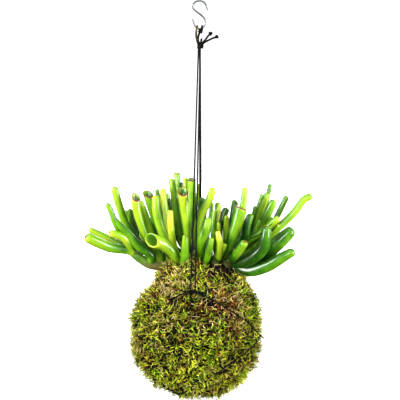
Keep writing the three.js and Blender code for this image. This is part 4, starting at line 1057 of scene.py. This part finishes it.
def leaf_profile(length, thick, cupped):
    """Rings of a straight finger from root to tip: place along it, radius, and nearness to the rim."""
    end = thick[2] / 2
    body = length - (0.5 if cupped else 0.9) * end
    steps = max(6, round(body / LEAF_STEP))
    rings = [(body * i / steps, thickness(thick, i / steps) / 2, 0) for i in range(steps + 1)]
    if cupped:
        rings += [(length - back * end, end * wide, rim) for back, wide, rim in CUP]
    else:
        for angle in (18, 36, 52, 66, 78):
            bend = math.radians(angle)
            radius = end * math.cos(bend) ** 0.9
            rings.append((body + 0.9 * end * math.sin(bend), radius, (angle / 90) ** 2))
        rings.append((length, 0, 1))
    return rings


def finger(points, thick, cup, shape, **carried):
    """Adds one finger along a line to the shape: its points, faces and what its surface carries."""
    line = smooth_line(points, 0.5)
    reach = reaches(line)
    length = reach[-1]
    level = unit(np.cross(np.array(points[-1]) - np.array(points[0]), (0, 0, 1)))
    gaze = np.array(cup or (0, 0, 0), float)
    first = len(shape["points"])
    middle = np.array((BALL.x, BALL.y, 0))
    rings = leaf_profile(length, thick, cup is not None)
    angles = np.linspace(0, 2 * math.pi, LEAF_SIDES, endpoint=False)
    for along, radius, rim in rings:
        at = min(max(along, 0), length)
        place, behind, ahead = (np.array([np.interp(far, reach, line[:, axis]) for axis in range(3)])
                                for far in (at, max(at - 1, 0), min(at + 1, length)))
        tangent = unit(ahead - behind)
        side = unit(level - tangent * (level @ tangent))
        lift = np.cross(side, tangent)
        offset = radius * (np.outer(np.cos(angles), side) + np.outer(np.sin(angles), lift))
        ring = place + offset + max(along - length, 0) * tangent
        slope = gaze - tangent * (gaze @ tangent)
        ring = ring - smoothstep(at / length, *CUP_LEAN) * (offset @ slope)[:, None] * tangent
        outward = (place - middle) * (1, 1, 0)
        outward = outward - tangent * (tangent @ outward)
        outward = outward / max(np.linalg.norm(outward), 1)
        shape["points"] += list(ring)
        shape["outer"] += list(offset @ outward / max(radius, 0.01))
        shape["along"] += [at / length] * LEAF_SIDES
        shape["rim"] += [rim] * LEAF_SIDES
    count = len(rings)
    for i in range(count - 1):
        a = first + i * LEAF_SIDES
        for k in range(LEAF_SIDES):
            n = (k + 1) % LEAF_SIDES
            shape["faces"].append((a + k, a + n, a + LEAF_SIDES + n, a + LEAF_SIDES + k))
    shape["faces"].append(tuple(first + k for k in reversed(range(LEAF_SIDES))))
    for label, value in carried.items():
        shape[label] += [value] * (len(shape["points"]) - first)


def from_crown(point):
    """A place given from the ball's axis and the crown, in the row frame in millimetres."""
    return BALL.x + point[0], BALL.y + point[1], BALL.z + CROWN + point[2]


def root_on(wood, point):
    """The place inside the wood that a leaf grows from, a little below the nearest one."""
    shares = np.linspace(0, len(wood) - 1, 41).round().astype(int)
    nearest = int(np.argmin(np.linalg.norm(wood[shares] - np.array(point), axis=1)))
    return tuple(wood[shares[max(0, nearest - 2)]])


def succulent_leaf():
    """A jade leaf: waxy skin over clear watery flesh, so light glows in it. It runs from dark to yellow
    green, is dotted, and its rim is rust red. Painted shade darkens its root, its inner side and the inside
    of a cup, and painted light makes its tip yellower; its outer side is yellower, partly its own paler
    skin and partly painted light."""
    made, node, shader, place = new_material("succulent_leaf_skin")
    along, rim, outer, tone, red, wood = (
        node("ShaderNodeAttribute", attribute_name=name).outputs["Fac"]
        for name in CARRIED)
    cloud = node("ShaderNodeTexNoise", place, 90, 3)
    drift = node("ShaderNodeMapRange", cloud, 0.3, 0.7, -0.12, 0.12)
    # Painted shade and light: darker towards the leaf's root, shut in by the other leaves, and lighter at
    # its tip.
    root_shade_tip_light = node("ShaderNodeMapRange", along, 0.1, 1.0, -0.26, 0.1)
    # Partly the paler skin of the outer side, partly painted light on the outer side and painted shade on
    # the inner side, between the leaves.
    outer_pale_and_side_light = node("ShaderNodeMapRange", outer, -0.8, 0.9, -0.26, 0.08)
    pale_foot = node("ShaderNodeMapRange", along, 0.04, 0.22, 0.28, 0.0)
    for change in (outer_pale_and_side_light, root_shade_tip_light, pale_foot, drift):
        tone = node("ShaderNodeMath", tone, change, operation="ADD")
    green = node("ShaderNodeValToRGB", tone,
                 stops=[(0.0, "#123403"), (0.2, "#2f6707"), (0.42, "#66990f"), (0.65, "#90b51b"),
                 (0.9, "#b8c62d")])
    dots = node("ShaderNodeTexVoronoi", place, 480)
    dotted = node("ShaderNodeMapRange", dots, 0.06, 0.22, 0.16, 0.0)
    speckled = node("ShaderNodeMix", dotted, green, "#dff28a", data_type="RGBA")
    # Painted shade inside a cup: below the rim the inside goes dark green.
    painted_cup_shade = node("ShaderNodeMapRange", rim, -1.0, 0.2, 0.9, 0.0)
    shaded = node("ShaderNodeMix", painted_cup_shade, speckled, "#245c06", data_type="RGBA")
    edge_noise = node("ShaderNodeTexNoise", place, 420, 3)
    edge = node("ShaderNodeMath", rim, red, operation="MULTIPLY")
    wander = node("ShaderNodeMapRange", edge_noise, 0.3, 0.7, 0.6, 1.0)
    rough_edge = node("ShaderNodeMath", edge, wander, operation="MULTIPLY")
    rust = node("ShaderNodeMapRange", rough_edge, 0.18, 0.5)
    rimmed = node("ShaderNodeMix", rust, shaded, "#6e2f0c", data_type="RGBA")
    bark_noise = node("ShaderNodeTexNoise", place, 300, 5)
    bark = node("ShaderNodeMix", bark_noise, "#245010", "#66852c", data_type="RGBA")
    cork = node("ShaderNodeMix", bark_noise, "#2a1f0c", "#a08a58", data_type="RGBA")
    parts = node("ShaderNodeSeparateXYZ", place)
    corky = node("ShaderNodeMapRange", parts.outputs[2], (BALL.z + CROWN - 1) * MM,
                 (BALL.z + CROWN + 6) * MM, 1.0, 0.0)
    stem = node("ShaderNodeMix", corky, bark, cork, data_type="RGBA")
    whole = node("ShaderNodeMix", wood, rimmed, stem, data_type="RGBA")
    bump = node("ShaderNodeBump", Height=dots, Strength=0.12, Distance=0.0003)
    gloss = node("ShaderNodeMapRange", edge_noise, 0, 1, 0.3, 0.48)
    feed(shader, Base_Color=whole, Roughness=gloss, Normal=bump, Subsurface_Weight=0.12,
         Subsurface_Radius=(0.6, 1.0, 0.12), Subsurface_Scale=0.003, Specular_IOR_Level=0.17,
         Coat_Weight=0.62, Coat_Roughness=0.16)
    return made


leaf_skin = succulent_leaf()
for name, stem in STEMS.items():
    shape = {label: [] for label in ("points", "faces", *CARRIED)}
    foot, *rest = [from_crown(p) for p in stem["wood"]]
    wood_line = [foot, tuple((np.array(foot) + np.array(rest[0])) / 2), *rest]
    finger(wood_line, stem["thick"], None, shape, tone=WOOD_TONE, red=0.0, wood=WOOD_SHARE)
    wood = smooth_line(wood_line, 0.5)
    for tone, thick, line, *rim in stem["leaves"]:
        red, cup = rim or (RIM_RED, None)
        points = [from_crown(p) for p in line]
        finger([root_on(wood, points[0]), *points], thick, cup, shape, tone=TONES[tone], red=red, wood=0.0)
    plant = new_object(name + "_grown", [Vector(p) * MM for p in shape["points"]], faces=shape["faces"])
    for label in CARRIED:
        store(plant.data, label, shape[label])
    skin(plant, leaf_skin)
    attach(plant, "root")
    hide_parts(name)

# ---- Grass blade ---------------------------------------------------------------------------
# A seedling grass that came up in the moss: one thin dark green blade in front of the leaves at the
# right. It is rooted in the soil.

BLADE = [(30, -18, -3), (36, -27, 12), (46, -36, 26), (60, -39, 34.5), (70, -39, 43.5)]
blade_line = smooth_line([from_crown(p) for p in BLADE], 0.5)
blade = grow(line_object("grass_blade", [blade_line]), cord_tree, Diameter=0.9 * MM, Pitch=1.0, Lobe=0.0,
             Step=0.6 * MM, Sides=8, Material=living_moss("young_grass_blade", "#2c6a10", "#2c6a10"))
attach(blade, "root")

# ---- Studio --------------------------------------------------------------------------------
# A round white room: a floor well below the plant that curves up into the wall. It only makes the
# background. The light comes from a dim pale sky, brighter overhead, and five large soft lamps.

FLOOR_BELOW = 0.46
ROOM_RADIUS, ROOM_HEIGHT, COVE = 20, 18, 8
ROOM_SPOKES = 48

profile = [(0.001, -FLOOR_BELOW)]
for i in range(13):
    angle = math.radians(90 * i / 12)
    profile.append((ROOM_RADIUS - COVE * (1 - math.sin(angle)), COVE * (1 - math.cos(angle)) - FLOOR_BELOW))
profile.append((ROOM_RADIUS, ROOM_HEIGHT))
turns_round = [2 * math.pi * k / ROOM_SPOKES for k in range(ROOM_SPOKES)]
wall_points = [(away * math.sin(turn), away * math.cos(turn), z)
               for away, z in profile for turn in turns_round]
wall_faces = []
for start in range(0, (len(profile) - 1) * ROOM_SPOKES, ROOM_SPOKES):
    for k in range(ROOM_SPOKES):
        n = (k + 1) % ROOM_SPOKES
        wall_faces.append((start + k, start + ROOM_SPOKES + k, start + ROOM_SPOKES + n, start + n))
wall = new_object("white_room", wall_points, faces=wall_faces)
paint, paint_node, paint_shader, paint_place = new_material("matt_white_paint")
paint_cloud = paint_node("ShaderNodeTexNoise", paint_place, 3)
paint_tint = paint_node("ShaderNodeMix", paint_cloud, "#fcfcfc", "#ffffff", data_type="RGBA")
feed(paint_shader, Base_Color=paint_tint, Emission_Color=paint_tint, Emission_Strength=0.8, Roughness=0.8)
skin(wall, paint)
wall.visible_diffuse = False
wall.visible_glossy = False
wall.visible_shadow = False

sky = bpy.data.worlds.new("pale_sky")
sky.use_nodes = True
sky_node = partial(add_node, sky.node_tree)
sky_place = sky_node("ShaderNodeTexCoord").outputs["Generated"]
sky_parts = sky_node("ShaderNodeSeparateXYZ", sky_place)
sky_light = sky_node("ShaderNodeMapRange", sky_parts.outputs["Z"], -0.6, 0.9, 0.03, 0.4)
feed(sky.node_tree.nodes["Background"], (1, 1, 1, 1), sky_light)
bpy.context.scene.world = sky
bpy.context.scene.view_settings.view_transform = "Standard"

LIGHTS = {
    "tall_left": {"at": (-1.5, -0.9, 0.15), "size": (0.6, 1.3), "power": 74},
    "tall_right": {"at": (1.5, -0.8, -0.15), "size": (0.55, 1.3), "power": 66},
    "front": {"at": (-0.3, -1.7, 0.3), "size": (0.3, 0.6), "power": 13},
    "overhead": {"at": (-0.2, -0.5, 1.3), "size": (0.7, 0.7), "power": 9},
    "back": {"at": (0.6, 1.9, 0.0), "size": (1.2, 1.2), "power": 26},
}
for name, light in LIGHTS.items():
    lamp = bpy.data.lights.new(name, "AREA")
    lamp.shape = "RECTANGLE"
    lamp.size, lamp.size_y = light["size"]
    lamp.energy = light["power"]
    made = bpy.data.objects.new(name, lamp)
    made.location = light["at"]
    made.rotation_euler = (LOOK_AT - Vector(light["at"])).to_track_quat("-Z", "Y").to_euler()
    bpy.context.scene.collection.objects.link(made)
